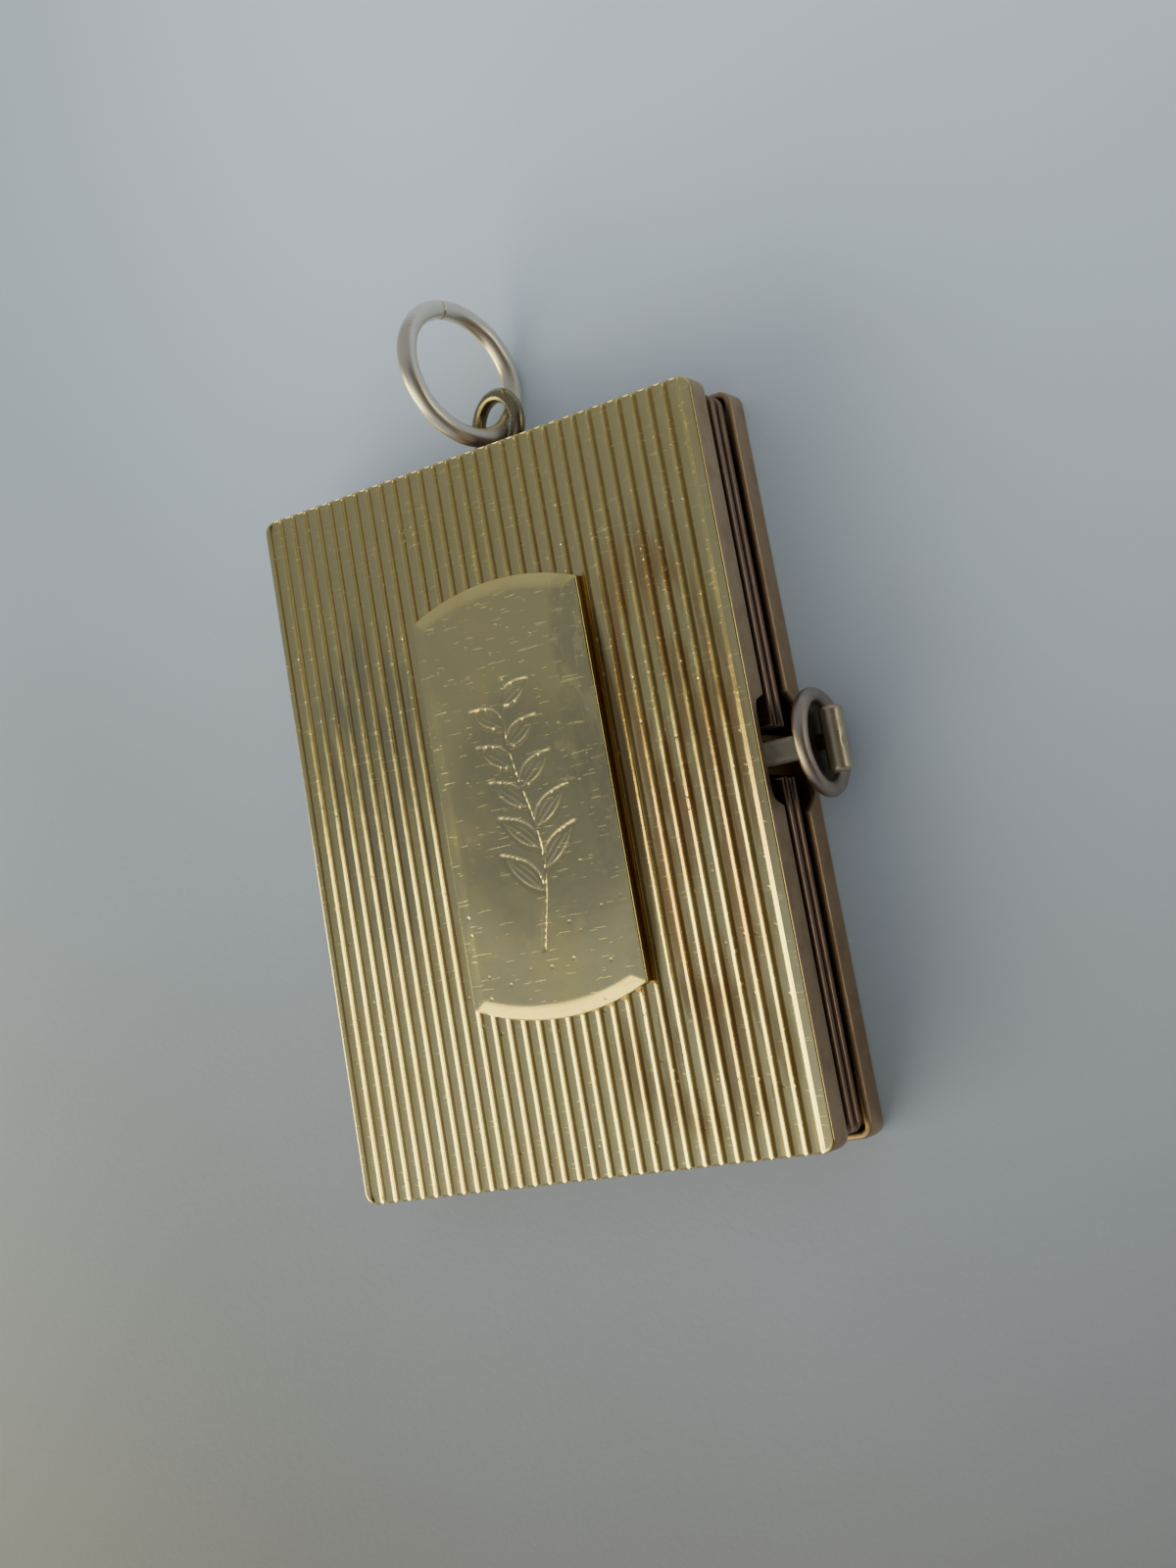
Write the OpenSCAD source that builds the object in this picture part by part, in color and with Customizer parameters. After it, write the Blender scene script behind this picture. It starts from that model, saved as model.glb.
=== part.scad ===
// Book locket: two trays hinged on a spine pin like the covers of a book, with two picture
// leaves between them, a turn catch on the fore-edge, and an eye and jump ring on the top edge.
// Millimetres. The locket lies on its back cover: X runs from the spine to the fore-edge,
// Y runs up the book, Z points up, and the origin is the centre of the back cover's outer face.

/* [Case] */
// Width of the covers, from the spine to the fore-edge
cover_w = 18.9; // [15:0.02:22]
// Height of the covers
cover_h = 26; // [22:0.1:32]
// Thickness of the closed case over both faces
case_t = 4.2; // [3.9:0.05:5]
// Depth of each cover's tray
tray_depth = 1.15; // [1.1:0.05:1.3]
// Thickness of the trays' side walls
wall = 0.25; // [0.2:0.01:0.4]
// Thickness of the covers' face sheets
face_t = 0.35; // [0.28:0.01:0.5]
// Radius of the covers' corners
corner_r = 0.45; // [0.4:0.05:1.5]

/* [Flutes of the front cover] */
// Distance from one flute to the next
flute_pitch = 0.61; // [0.4:0.005:1]
// Depth of the round flutes
flute_depth = 0.12; // [0.06:0.01:0.15]
// Flat left on the ridge between two flutes
ridge_flat = 0.03; // [0.02:0.005:0.08]
// Plain strip left at the spine and the fore-edge, as a mean of the two
edge_strip = 0.25; // [0.2:0.01:1]
// Place of the flutes' middle across the cover
flutes_x = -0.08; // [-0.15:0.01:0.15]

/* [Cartouche] */
// Width of the plate soldered on the front cover
plate_w = 7.1; // [4:0.1:9]
// Height of the plate's straight sides
plate_h = 14.1; // [10:0.1:18]
// Rise of the arched ends
plate_rise = 0.75; // [0.3:0.05:1.5]
// Height of the plate above the ridges
plate_t = 0.25; // [0.1:0.01:0.5]
// Width of the plate's soft edge
plate_bevel = 0.12; // [0.05:0.01:0.3]
// How far the plate sits towards the fore-edge
plate_x = 0.35; // [0:0.05:1]
// How far the plate sits towards the top
plate_y = 0.3; // [0:0.05:1]

/* [Picture leaves] */
// Thickness of a leaf
leaf_t = 0.34; // [0.3:0.02:0.4]
// Space between the two leaves
leaf_split = 0.24; // [0.16:0.02:0.3]
// How far the pair of leaves lies below the middle of the case
leaf_low = 0.2; // [0:0.02:0.24]
// How far the leaves stop short of the covers' fore-edge
leaf_inset = 0.17; // [0.1:0.01:0.5]
// How far the leaves stop short of the covers' top and bottom
leaf_end = 0.3; // [0.1:0.02:1]
// Gap between the leaves and the cover's arms at the spine
leaf_root = 0.25; // [0.15:0.01:0.4]
// Width of the frame round a leaf's picture wells
leaf_frame = 1.9; // [1.8:0.05:3]
// Depth of the picture well on each side of a leaf
well_depth = 0.08; // [0.05:0.01:0.1]

/* [Hinge] */
// Diameter of the spine pin
pin_d = 0.7; // [0.5:0.02:0.8]
// Clearance round the pin
pin_clear = 0.03; // [0.02:0.005:0.06]
// Outer diameter of the knuckles
knuckle_d = 1.3; // [1.2:0.02:1.5]
// Length of the row of knuckles
hinge_l = 24.6; // [20:0.1:25]
// Gap between neighbouring knuckles
knuckle_gap = 0.08; // [0.05:0.01:0.2]
// How far the pin's axis stands out from the spine
hinge_out = 0.45; // [0.4:0.01:0.8]
// How far a knuckle's arm laps the wall that it is soldered to
arm_lap = 0.35; // [0.2:0.01:0.6]

/* [Turn catch] */
// Length of the notch in each fore-edge wall
notch_l = 3.75; // [3.2:0.05:4.8]
// Metal left between a notch and the cover's face
notch_strip = 0.36; // [0.35:0.01:0.5]
// Radius of the notch's corners
notch_round = 0.6; // [0.3:0.05:0.7]
// How far the catch sits above the middle of the fore-edge
catch_y = 0; // [-0.5:0.05:0.5]
// Diameter of the post
post_d = 0.86; // [0.6:0.02:1]
// Running clearance of the post in its lug
post_clear = 0.04; // [0.02:0.005:0.08]
// Distance from the fore-edge in to the lug
lug_in = 0.72; // [0.6:0.02:1]
// Thickness of the lug
lug_t = 0.4; // [0.3:0.02:0.6]
// Metal of the lug round its bore
lug_rim = 0.23; // [0.2:0.01:0.4]
// Diameter of the riveted head behind the lug
head_d = 1.2; // [1.04:0.02:1.4]
// Thickness of the riveted head
head_t = 0.3; // [0.2:0.02:0.5]
// Clearance of the head behind the lug, and of the leaves round the lug
catch_gap = 0.1; // [0.06:0.01:0.2]
// Outer diameter of the thumb ring
thumb_d = 3.74; // [3.2:0.02:4]
// Thickness of the thumb ring's wire
thumb_wire = 0.52; // [0.4:0.02:0.8]
// Distance from the fore-edge out to the thumb ring's middle
thumb_out = 1.3; // [1:0.02:2]
// Thickness of the web that closes the thumb ring
web_t = 0.17; // [0.1:0.01:0.3]
// Diameter of the bar across the thumb ring
bar_d = 0.72; // [0.5:0.02:0.9]
// Length of the bar
bar_l = 2.2; // [1.6:0.05:2.4]
// Bevel at the bar's ends
bar_bevel = 0.08; // [0.04:0.01:0.15]
// Distance from the thumb ring's middle out to the bar's axis
bar_out = 0.5; // [0.3:0.02:0.8]

/* [Eye and jump ring] */
// Radius of the eye, to the middle of its wire
eye_r = 1.2; // [1.15:0.01:1.22]
// Thickness of the eye's wire
eye_wire = 0.56; // [0.4:0.02:0.58]
// Place of the eye along the top edge
eye_x = 0; // [-4:0.02:4]
// Distance from the top edge out to the eye's middle
eye_out = 1.5; // [1.5:0.02:2.2]
// Height of the eye's middle above the table
eye_z = 1.26; // [1.22:0.02:1.3]
// Tilt of the eye from flat
eye_tilt = 19; // [14:1:24]
// Diameter of the eye's stem
stem_d = 0.6; // [0.5:0.02:0.7]
// Height of the stem's axis above the table
stem_z = 0.84; // [0.8:0.02:0.84]
// Radius of the jump ring, to the middle of its wire
jump_r = 2.6; // [2.3:0.02:2.64]
// Thickness of the jump ring's wire
jump_wire = 0.74; // [0.6:0.02:0.76]
// Clearance between the jump ring and the eye
link_gap = 0.14; // [0.12:0.01:0.16]
// Lean of the jump ring from flat
jump_lean = 77.5; // [74:0.1:80]
// Direction in which the jump ring leans
jump_turn = 5.6; // [2:0.1:10]
// Place on the jump ring where it passes through the eye
jump_pass = -52.4; // [-56:0.1:-48]

/* [Hidden] */
$fn = 96;
// Overlap of a cutting solid past the face that it cuts
past = 0.1;

gold = [0.62, 0.53, 0.28];
old_gold = [0.55, 0.47, 0.26];
leaf_gold = [0.66, 0.56, 0.32];
champagne = [0.72, 0.67, 0.55];
steel = [0.5, 0.47, 0.4];

// Middle of the case, where the pin and the catch lie
mid_z = case_t / 2;
fore_x = cover_w / 2;
top_y = cover_h / 2;

// Flutes: as many as the face holds between its edge strips
flute_n = floor((cover_w - 2 * edge_strip) / flute_pitch);
flutes_w = flute_n * flute_pitch;
flute_z = case_t - flute_depth;
flute_r = (pow((flute_pitch - ridge_flat) / 2, 2) + pow(flute_depth, 2)) / (2 * flute_depth);

// Arched ends of the cartouche
plate_top = plate_h / 2 + plate_rise;
plate_arc = (pow(plate_w / 2, 2) + pow(plate_rise, 2)) / (2 * plate_rise);

// Leaves, a little below the middle as they hang towards the back cover
leaf_x0 = -fore_x + wall + leaf_root;
leaf_x1 = fore_x - leaf_inset;
leaf_h = cover_h - 2 * leaf_end;
leaf_r = corner_r - leaf_inset / 2;
front_leaf_z = mid_z - leaf_low + leaf_split / 2;
rear_leaf_z = mid_z - leaf_low - leaf_split / 2 - leaf_t;

// Hinge: knuckles numbered from the bottom, for each body in turn
hinge_x = -fore_x - hinge_out;
knuckle_n = 9;
knuckle_l = (hinge_l - (knuckle_n - 1) * knuckle_gap) / knuckle_n;
back_knuckles = [0, 4, 8];
front_knuckles = [1, 7];
front_leaf_knuckles = [2, 6];
rear_leaf_knuckles = [3, 5];
rim_gap = case_t - 2 * tray_depth;

notch_depth = tray_depth - notch_strip;

// Catch, from its head out along X
bore_d = post_d + 2 * post_clear;
lug_w = bore_d + 2 * lug_rim;
lug_x1 = fore_x - lug_in;
lug_x0 = lug_x1 - lug_t;
head_x = lug_x0 - catch_gap - head_t;
thumb_x = fore_x + thumb_out;
thumb_r = (thumb_d - thumb_wire) / 2;
bar_x = thumb_x + bar_out;
slot_w = max(lug_w, head_d) + 3 * catch_gap;
slot_x = head_x - 1.5 * catch_gap;

// Eye and the place inside it where the jump ring passes
eye_y = top_y + eye_out;
seat_r = eye_r - (eye_wire + jump_wire) / 2 - link_gap;
seat_turn = 110;

module rounded_plate(w, h, r, t) {
    linear_extrude(t) {
        square([w - 2 * r, h], center = true);
        square([w, h - 2 * r], center = true);
        for (x = [-1, 1], y = [-1, 1])
            translate([x * (w / 2 - r), y * (h / 2 - r)]) circle(r);
    }
}

// Ring of round wire lying flat round Z
module wire_ring(r, wire) {
    rotate_extrude() translate([r, 0]) circle(d = wire);
}

// A cover as a shallow tray standing on its face, with the catch's notch in its fore-edge wall
module tray() {
    difference() {
        rounded_plate(cover_w, cover_h, corner_r, tray_depth);
        translate([0, 0, face_t])
            rounded_plate(cover_w - 2 * wall, cover_h - 2 * wall, corner_r - wall, tray_depth);
        translate([fore_x - wall - past, catch_y, tray_depth])
            rotate([0, 90, 0]) rounded_plate(2 * notch_depth, notch_l, notch_round, wall + 2 * past);
    }
}

// Round flutes cut over the whole height of the front cover's face
module flutes() {
    rotate([90, 0, 0])
        linear_extrude(cover_h + 2 * past, center = true)
            for (i = [0 : flute_n - 1])
                translate([flutes_x + (i + 0.5) * flute_pitch - flutes_w / 2, flute_z + flute_r])
                    circle(flute_r);
}

// Outline of the cartouche drawn in by inset on all sides
module plate_outline(inset) {
    intersection() {
        square([plate_w - 2 * inset, 2 * plate_top], center = true);
        translate([0, plate_arc - plate_top]) circle(plate_arc - inset, $fn = 192);
        translate([0, plate_top - plate_arc]) circle(plate_arc - inset, $fn = 192);
    }
}

module cartouche() {
    // It reaches down into the face sheet, so that the flutes pass under it closed
    translate([plate_x, plate_y, flute_z - past / 2])
        linear_extrude(flute_depth + past / 2 + plate_t - plate_bevel) plate_outline(0);
    translate([plate_x, plate_y, case_t])
        linear_extrude(plate_t) plate_outline(plate_bevel);
}

function knuckle_y(i) = -hinge_l / 2 + i * (knuckle_l + knuckle_gap);

// Barrels at the listed places, each with the arm given as a child in the knuckle's own frame
module knuckles(places) {
    for (i = places)
        translate([hinge_x, knuckle_y(i), mid_z]) {
            rotate([-90, 0, 0]) cylinder(d = knuckle_d, h = knuckle_l);
            children();
        }
}

module pin_bore() {
    translate([hinge_x, -hinge_l / 2 - past, mid_z])
        rotate([-90, 0, 0]) cylinder(d = pin_d + 2 * pin_clear, h = hinge_l + 2 * past);
}

// Arm from a barrel up to the wall of the cover above it
module cover_arm() {
    cube([hinge_out + wall, knuckle_l, rim_gap / 2 + arm_lap]);
}

module lug() {
    translate([lug_x0, catch_y - lug_w / 2, face_t / 2])
        cube([lug_t, lug_w, mid_z - face_t / 2]);
    translate([lug_x0, catch_y, mid_z]) rotate([0, 90, 0]) cylinder(d = lug_w, h = lug_t);
}

module eye() {
    translate([eye_x, eye_y, eye_z]) rotate([0, -eye_tilt, 0]) wire_ring(eye_r, eye_wire);
    // The stem runs from inside the wall to a little past the middle of the eye's wire
    translate([eye_x, top_y - wall / 2, stem_z])
        rotate([-90, 0, 0])
            cylinder(d = stem_d, h = wall / 2 + eye_out - eye_r + eye_wire / 4);
}

module back_cover() {
    color(old_gold)
        difference() {
            union() {
                tray();
                knuckles(back_knuckles) mirror([0, 0, 1]) cover_arm();
                lug();
                eye();
            }
            pin_bore();
            translate([lug_x0 - past, catch_y, mid_z])
                rotate([0, 90, 0]) cylinder(d = bore_d, h = lug_t + 2 * past);
        }
}

module front_cover() {
    color(gold)
        difference() {
            union() {
                difference() {
                    translate([0, 0, case_t]) mirror([0, 0, 1]) tray();
                    flutes();
                }
                knuckles(front_knuckles) cover_arm();
                cartouche();
            }
            pin_bore();
        }
}

// Picture leaf whose underside lies at z, with tabs to its own knuckles
module leaf(z, places) {
    well_w = leaf_x1 - leaf_x0 - 2 * leaf_frame;
    well_h = leaf_h - 2 * leaf_frame;
    color(leaf_gold)
        difference() {
            union() {
                translate([(leaf_x0 + leaf_x1) / 2, 0, z])
                    rounded_plate(leaf_x1 - leaf_x0, leaf_h, leaf_r, leaf_t);
                knuckles(places)
                    translate([0, 0, z - mid_z])
                        cube([leaf_x0 - hinge_x + leaf_r, knuckle_l, leaf_t]);
            }
            for (side = [z - past, z + leaf_t - well_depth])
                translate([(leaf_x0 + leaf_x1) / 2, 0, side])
                    rounded_plate(well_w, well_h, leaf_r, well_depth + past);
            translate([slot_x, catch_y - slot_w / 2, z - past])
                cube([leaf_x1 - slot_x + past, slot_w, leaf_t + 2 * past]);
            pin_bore();
        }
}

module front_leaf() {
    leaf(front_leaf_z, front_leaf_knuckles);
}

module rear_leaf() {
    leaf(rear_leaf_z, rear_leaf_knuckles);
}

module hinge_pin() {
    color(steel)
        translate([hinge_x, -hinge_l / 2, mid_z])
            rotate([-90, 0, 0]) cylinder(d = pin_d, h = hinge_l);
}

// Bar along Y with bevelled ends
module bar() {
    rotate([90, 0, 0]) {
        cylinder(d = bar_d, h = bar_l - 2 * bar_bevel, center = true);
        for (end = [0, 1])
            mirror([0, 0, end])
                translate([0, 0, bar_l / 2 - bar_bevel])
                    cylinder(d1 = bar_d, d2 = bar_d - 2 * bar_bevel, h = bar_bevel);
    }
}

module turn_catch() {
    color(champagne)
        translate([0, catch_y, mid_z]) {
            rotate([0, 90, 0]) {
                translate([0, 0, head_x]) cylinder(d = head_d, h = head_t);
                translate([0, 0, head_x]) cylinder(d = post_d, h = bar_x - head_x);
                translate([0, 0, thumb_x]) wire_ring(thumb_r, thumb_wire);
                // The web lies nearer to the case than the middle of the ring's wire
                translate([0, 0, thumb_x - thumb_wire / 4 - web_t / 2]) cylinder(r = thumb_r, h = web_t);
            }
            translate([bar_x, 0, 0]) bar();
        }
}

module jump_ring() {
    color(champagne)
        translate([eye_x, eye_y, eye_z])
            rotate([0, -eye_tilt, 0])
                translate([seat_r * sin(seat_turn), seat_r * cos(seat_turn), 0])
                    rotate([0, eye_tilt, 0])
                        rotate([0, jump_lean, jump_turn])
                            rotate([0, 0, jump_pass])
                                translate([-jump_r, 0, 0]) wire_ring(jump_r, jump_wire);
}

back_cover();
front_cover();
front_leaf();
rear_leaf();
hinge_pin();
turn_catch();
jump_ring();
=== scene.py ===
"""Book locket with a fluted cover, an arched plate and a turn catch, dressed for a still picture.

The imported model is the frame. Each sub-assembly below is a class that holds its sizes in
millimetres, builds its meshes in the frame's own axes and rides on the body that carries it.
X runs from the spine to the fore-edge, Y up the book and Z out of the front cover.
"""

import logging
import math
from dataclasses import dataclass, field
from enum import Enum
from typing import Callable, Iterable, Sequence

import bmesh
import bpy
import numpy as np
from mathutils import Matrix, Vector

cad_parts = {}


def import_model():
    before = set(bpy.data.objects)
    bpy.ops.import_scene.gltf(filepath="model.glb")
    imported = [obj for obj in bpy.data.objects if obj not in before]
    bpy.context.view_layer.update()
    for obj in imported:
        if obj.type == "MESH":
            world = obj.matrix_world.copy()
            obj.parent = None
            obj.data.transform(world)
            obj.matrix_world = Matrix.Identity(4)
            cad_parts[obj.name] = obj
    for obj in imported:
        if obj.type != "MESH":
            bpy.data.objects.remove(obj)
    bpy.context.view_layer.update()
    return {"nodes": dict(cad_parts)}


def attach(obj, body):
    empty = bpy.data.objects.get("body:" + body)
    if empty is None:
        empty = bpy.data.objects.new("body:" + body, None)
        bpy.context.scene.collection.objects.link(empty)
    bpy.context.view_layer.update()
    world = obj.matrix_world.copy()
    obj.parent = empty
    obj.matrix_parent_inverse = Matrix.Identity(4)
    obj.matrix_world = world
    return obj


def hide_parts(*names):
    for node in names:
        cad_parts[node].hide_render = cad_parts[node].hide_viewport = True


LOG = logging.getLogger("book_locket")
MM = 0.001
PER_MM = 1.0 / MM
Triple = tuple[float, float, float]
Colour = Triple
# A span is where a fade starts and where it is full.
Span = tuple[float, float]


class Body(str, Enum):
    """Bodies of the frame that pieces ride on."""

    BACK = "case_back"
    FRONT = "case_front"
    LEAF_FRONT = "leaf_front"
    LEAF_REAR = "leaf_rear"
    CATCH = "catch"


class Slot(str, Enum):
    """Material slots."""

    PLAIN = "cover_plain"
    RIBBED = "cover_ribbed"
    PLATE = "plate_metal"
    LEAF = "leaf_metal"
    PIN = "pin_metal"
    CATCH = "catch_metal"
    RING = "ring_metal"


class Side(Enum):
    """The two covers, by the way that their outer faces look along Z."""

    FRONT = 1
    BACK = -1


# Node trees


class Num:
    """A number on its way through a node tree, which takes Python's own signs."""

    def __init__(self, tree: bpy.types.NodeTree, socket: bpy.types.NodeSocket) -> None:
        """Keeps the tree and the socket that gives the number."""
        self.tree = tree
        self.socket = socket

    def op(self, operation: str, *others: "Num | float", clamp: bool = False) -> "Num":
        """Adds a Math node.

        Args:
            operation: The Math node's operation.
            others: Its further inputs, numbers or sockets.
            clamp: Whether the result is kept from 0 to 1.

        Returns:
            The node's result.
        """
        node = self.tree.nodes.new("ShaderNodeMath")
        node.operation = operation
        node.use_clamp = clamp
        for place, value in zip(node.inputs, (self, *others)):
            if isinstance(value, Num):
                self.tree.links.new(value.socket, place)
            else:
                place.default_value = value
        return Num(self.tree, node.outputs[0])

    def __add__(self, other: "Num | float") -> "Num":
        """Sum."""
        return self.op("ADD", other)

    def __sub__(self, other: "Num | float") -> "Num":
        """Difference."""
        return self.op("SUBTRACT", other)

    def __mul__(self, other: "Num | float") -> "Num":
        """Product."""
        return self.op("MULTIPLY", other)

    def __truediv__(self, other: "Num | float") -> "Num":
        """Quotient."""
        return self.op("DIVIDE", other)

    def at_least(self, other: "Num | float") -> "Num":
        """The larger of the two."""
        return self.op("MAXIMUM", other)

    def at_most(self, other: "Num | float") -> "Num":
        """The smaller of the two."""
        return self.op("MINIMUM", other)

    def size(self) -> "Num":
        """The number without its sign."""
        return self.op("ABSOLUTE")

    def root(self) -> "Num":
        """Square root, and 0 for what is below 0."""
        return self.op("MAXIMUM", 0.0).op("SQRT")

    def ramp(self, low: float, high: float) -> "Num":
        """Smooth step.

        Args:
            low: Where the result is 0.
            high: Where the result is 1, which may lie below low.

        Returns:
            The smooth step from 0 to 1.
        """
        node = self.tree.nodes.new("ShaderNodeMapRange")
        node.interpolation_type = "SMOOTHSTEP"
        turned = low > high
        self.tree.links.new(self.socket, node.inputs["Value"])
        node.inputs["From Min"].default_value = min(low, high)
        node.inputs["From Max"].default_value = max(low, high)
        node.inputs["To Min"].default_value = float(turned)
        node.inputs["To Max"].default_value = float(not turned)
        return Num(self.tree, node.outputs["Result"])


class Graph:
    """Short ways to add nodes to a tree."""

    def __init__(self, tree: bpy.types.NodeTree) -> None:
        """Empties the tree and keeps it."""
        self.tree = tree
        tree.nodes.clear()

    def add(self, kind: str, inputs: dict | None = None, **settings: object) -> bpy.types.Node:
        """Adds a node.

        Args:
            kind: The node's type name.
            inputs: Values, sockets or numbers for its inputs, by name or place.
            settings: The node's own settings.

        Returns:
            The node.
        """
        node = self.tree.nodes.new(kind)
        for name, value in settings.items():
            setattr(node, name, value)
        for name, value in (inputs or {}).items():
            if isinstance(value, Num):
                value = value.socket
            if isinstance(value, bpy.types.NodeSocket):
                self.tree.links.new(value, node.inputs[name])
            else:
                node.inputs[name].default_value = value
        return node

    def num(self, socket: bpy.types.NodeSocket) -> Num:
        """The socket as a number that takes signs."""
        return Num(self.tree, socket)

    def split(self, vector: bpy.types.NodeSocket) -> tuple[Num, Num, Num]:
        """The three numbers of a vector."""
        node = self.add("ShaderNodeSeparateXYZ", {0: vector})
        return tuple(self.num(out) for out in node.outputs)

    def noise(self, vector: bpy.types.NodeSocket, scale: float, detail: float = 3.0,
              rough: float = 0.55) -> Num:
        """Noise.

        Args:
            vector: Where it is read.
            scale: Waves per unit.
            detail: Finer layers.
            rough: Strength of the finer layers.

        Returns:
            The noise, from 0 to 1.
        """
        node = self.add("ShaderNodeTexNoise", {"Vector": vector, "Scale": scale,
                                               "Detail": detail, "Roughness": rough})
        return self.num(node.outputs[0])

    def blend(self, share: Num | float, first: object, second: object,
              how: str = "MIX") -> bpy.types.NodeSocket:
        """Mixes two colours.

        Args:
            share: How much of the second one.
            first: A colour or socket.
            second: A colour or socket.
            how: The Mix node's blend type.

        Returns:
            The mixed colour.
        """
        node = self.tree.nodes.new("ShaderNodeMix")
        node.data_type = "RGBA"
        node.blend_type = how
        sockets = [s for s in node.inputs if s.type == "RGBA"]
        for place, value in zip([node.inputs[0], *sockets], (share, first, second)):
            if isinstance(value, Num):
                value = value.socket
            if isinstance(value, bpy.types.NodeSocket):
                self.tree.links.new(value, place)
            elif isinstance(value, tuple):
                place.default_value = (*value, 1.0)
            else:
                place.default_value = value
        return next(s for s in node.outputs if s.type == "RGBA")


# Finishes


@dataclass(frozen=True)
class Patch:
    """A patch of colour on a piece, a stain on some finishes and painted shade and painted
    reflection on others: its colour, its middle and reach in millimetres, its streaks.
    """

    colour: Colour
    share: float
    middle: tuple[float, float]
    reach: tuple[float, float]
    streaks: Triple = (1.6, 0.16, 0.5)
    cut: float = 0.42
    edge_span: Span = (1.0, 0.45)
    cut_fade: float = 0.12


@dataclass(frozen=True)
class Gilding:
    """Worn gold-filled metal: its colour, its tarnish, and the marks of wear in it; some finishes
    are painted darker as painted shade.

    Each of the marks is a set of scratches: their direction in degrees, their length in
    millimetres, and where their noise is cut.
    """

    name: str
    colour: Colour
    tarnish: Colour
    tarnish_share: float = 0.35
    tarnish_scale: float = 0.35
    rough_low: float = 0.18
    rough_high: float = 0.34
    grain: float = 0.0006
    grain_scale: float = 14.0
    scratches: float = 0.0012
    pits: float = 0.003
    pit_scale: float = 2.6
    waves: float = 0.0
    recess_dark: float = 0.0
    metal: float = 1.0
    patches: tuple[Patch, ...] = ()
    marks: tuple[Triple, ...] = ((38.0, 1.6, 0.66), (-64.0, 0.9, 0.68))
    mark_scale: float = 9.0
    mark_fade: float = 0.03
    mark_shine: float = 1.15
    mark_share: float = 0.35
    tarnish_span: Span = (0.42, 0.72)
    fine_span: Span = (0.5, 0.75)
    fine_share: float = 0.08
    recess_span: Span = (0.05, 1.0)
    pit_chosen: Span = (0.72, 0.76)
    pit_reach: Span = (0.2, 0.06)
    rough_span: Span = (0.3, 0.75)
    rough_fine: float = 0.06
    rough_marks: float = 0.08
    wave_scale: float = 1.3

    def _patched(self, graph: Graph, place: bpy.types.NodeSocket,
                 colour: bpy.types.NodeSocket) -> bpy.types.NodeSocket:
        """Lays the stained places, and the patches of painted shade and painted reflection, over
        the metal's colour.

        Args:
            graph: The material's graph.
            place: Object place in millimetres.
            colour: The colour so far.

        Returns:
            The colour with the stains.
        """
        x, y, _ = graph.split(place)
        for patch in self.patches:
            across = (x - patch.middle[0]) * (1.0 / patch.reach[0])
            along = (y - patch.middle[1]) * (1.0 / patch.reach[1])
            near = (across * across + along * along).ramp(*patch.edge_span)
            drawn = graph.add("ShaderNodeMapping", {"Vector": place, "Scale": patch.streaks})
            spots = graph.noise(drawn.outputs[0], 1.0, 3.0, 0.6)
            spots = spots.ramp(patch.cut, patch.cut + patch.cut_fade)
            colour = graph.blend(near * spots * patch.share, colour, patch.colour)
        return colour

    def _streaks(self, graph: Graph, place: bpy.types.NodeSocket, turn: float,
                 length: float, cut: float) -> Num:
        """Fine straight scratches.

        Args:
            graph: The material's graph.
            place: Object place in millimetres.
            turn: Their direction, in degrees.
            length: Their length in millimetres.
            cut: Where the noise is cut: higher leaves fewer.

        Returns:
            1 in a scratch and 0 beside it.
        """
        turned = graph.add("ShaderNodeMapping",
                           {"Vector": place, "Rotation": (0.0, 0.0, math.radians(turn)),
                            "Scale": (1.0 / length, self.mark_scale, self.mark_scale)})
        drawn = graph.noise(turned.outputs[0], 1.0, 2.0, 0.5)
        return drawn.ramp(cut, cut + self.mark_fade)

    def material(self) -> bpy.types.Material:
        """Builds the material, unless it is there already.

        Returns:
            The material.
        """
        found = bpy.data.materials.get(self.name)
        if found:
            return found
        made = bpy.data.materials.new(self.name)
        made.use_nodes = True
        graph = Graph(made.node_tree)
        origin = graph.add("ShaderNodeTexCoord").outputs["Object"]
        place = graph.add("ShaderNodeMapping",
                          {"Vector": origin, "Scale": (PER_MM,) * 3}).outputs[0]
        cloud = graph.noise(place, self.tarnish_scale, 5.0, 0.62)
        fine = graph.noise(place, self.grain_scale, 3.0, 0.6)
        long_marks, short_marks = (self._streaks(graph, place, *mark) for mark in self.marks)
        streaks = long_marks.at_least(short_marks)
        cells = graph.add("ShaderNodeTexVoronoi",
                          {"Vector": place, "Scale": self.pit_scale, "Randomness": 1.0})
        chosen = graph.split(cells.outputs["Color"])[0].ramp(*self.pit_chosen)
        pits = graph.num(cells.outputs["Distance"]).ramp(*self.pit_reach) * chosen

        share = (cloud.ramp(*self.tarnish_span) * self.tarnish_share
                 + fine.ramp(*self.fine_span) * self.fine_share)
        if self.recess_dark:
            recess = graph.num(graph.add("ShaderNodeAttribute",
                                         attribute_name="recess").outputs["Fac"])
            share = share + recess.ramp(*self.recess_span) * self.recess_dark
        share = share.at_most(1.0)
        colour = graph.blend(share, self.colour, self.tarnish)
        bright = tuple(min(1.0, c * self.mark_shine) for c in self.colour)
        colour = graph.blend(streaks * self.mark_share, colour, bright)
        colour = self._patched(graph, place, colour)

        rough = (cloud.ramp(*self.rough_span) * (self.rough_high - self.rough_low)
                 + self.rough_low + fine * self.rough_fine + streaks * self.rough_marks)
        height = fine * self.grain - streaks * self.scratches - pits * self.pits
        if self.waves:
            height = height + graph.noise(place, self.wave_scale, 2.0, 0.5) * self.waves
        bump = graph.add("ShaderNodeBump", {"Height": height, "Distance": MM, "Strength": 1.0})
        metal = graph.add("ShaderNodeBsdfPrincipled",
                          {"Base Color": colour, "Metallic": self.metal, "Roughness": rough,
                           "Normal": bump.outputs[0]})
        out = graph.add("ShaderNodeOutputMaterial")
        made.node_tree.links.new(metal.outputs[0], out.inputs[0])
        return made


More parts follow.
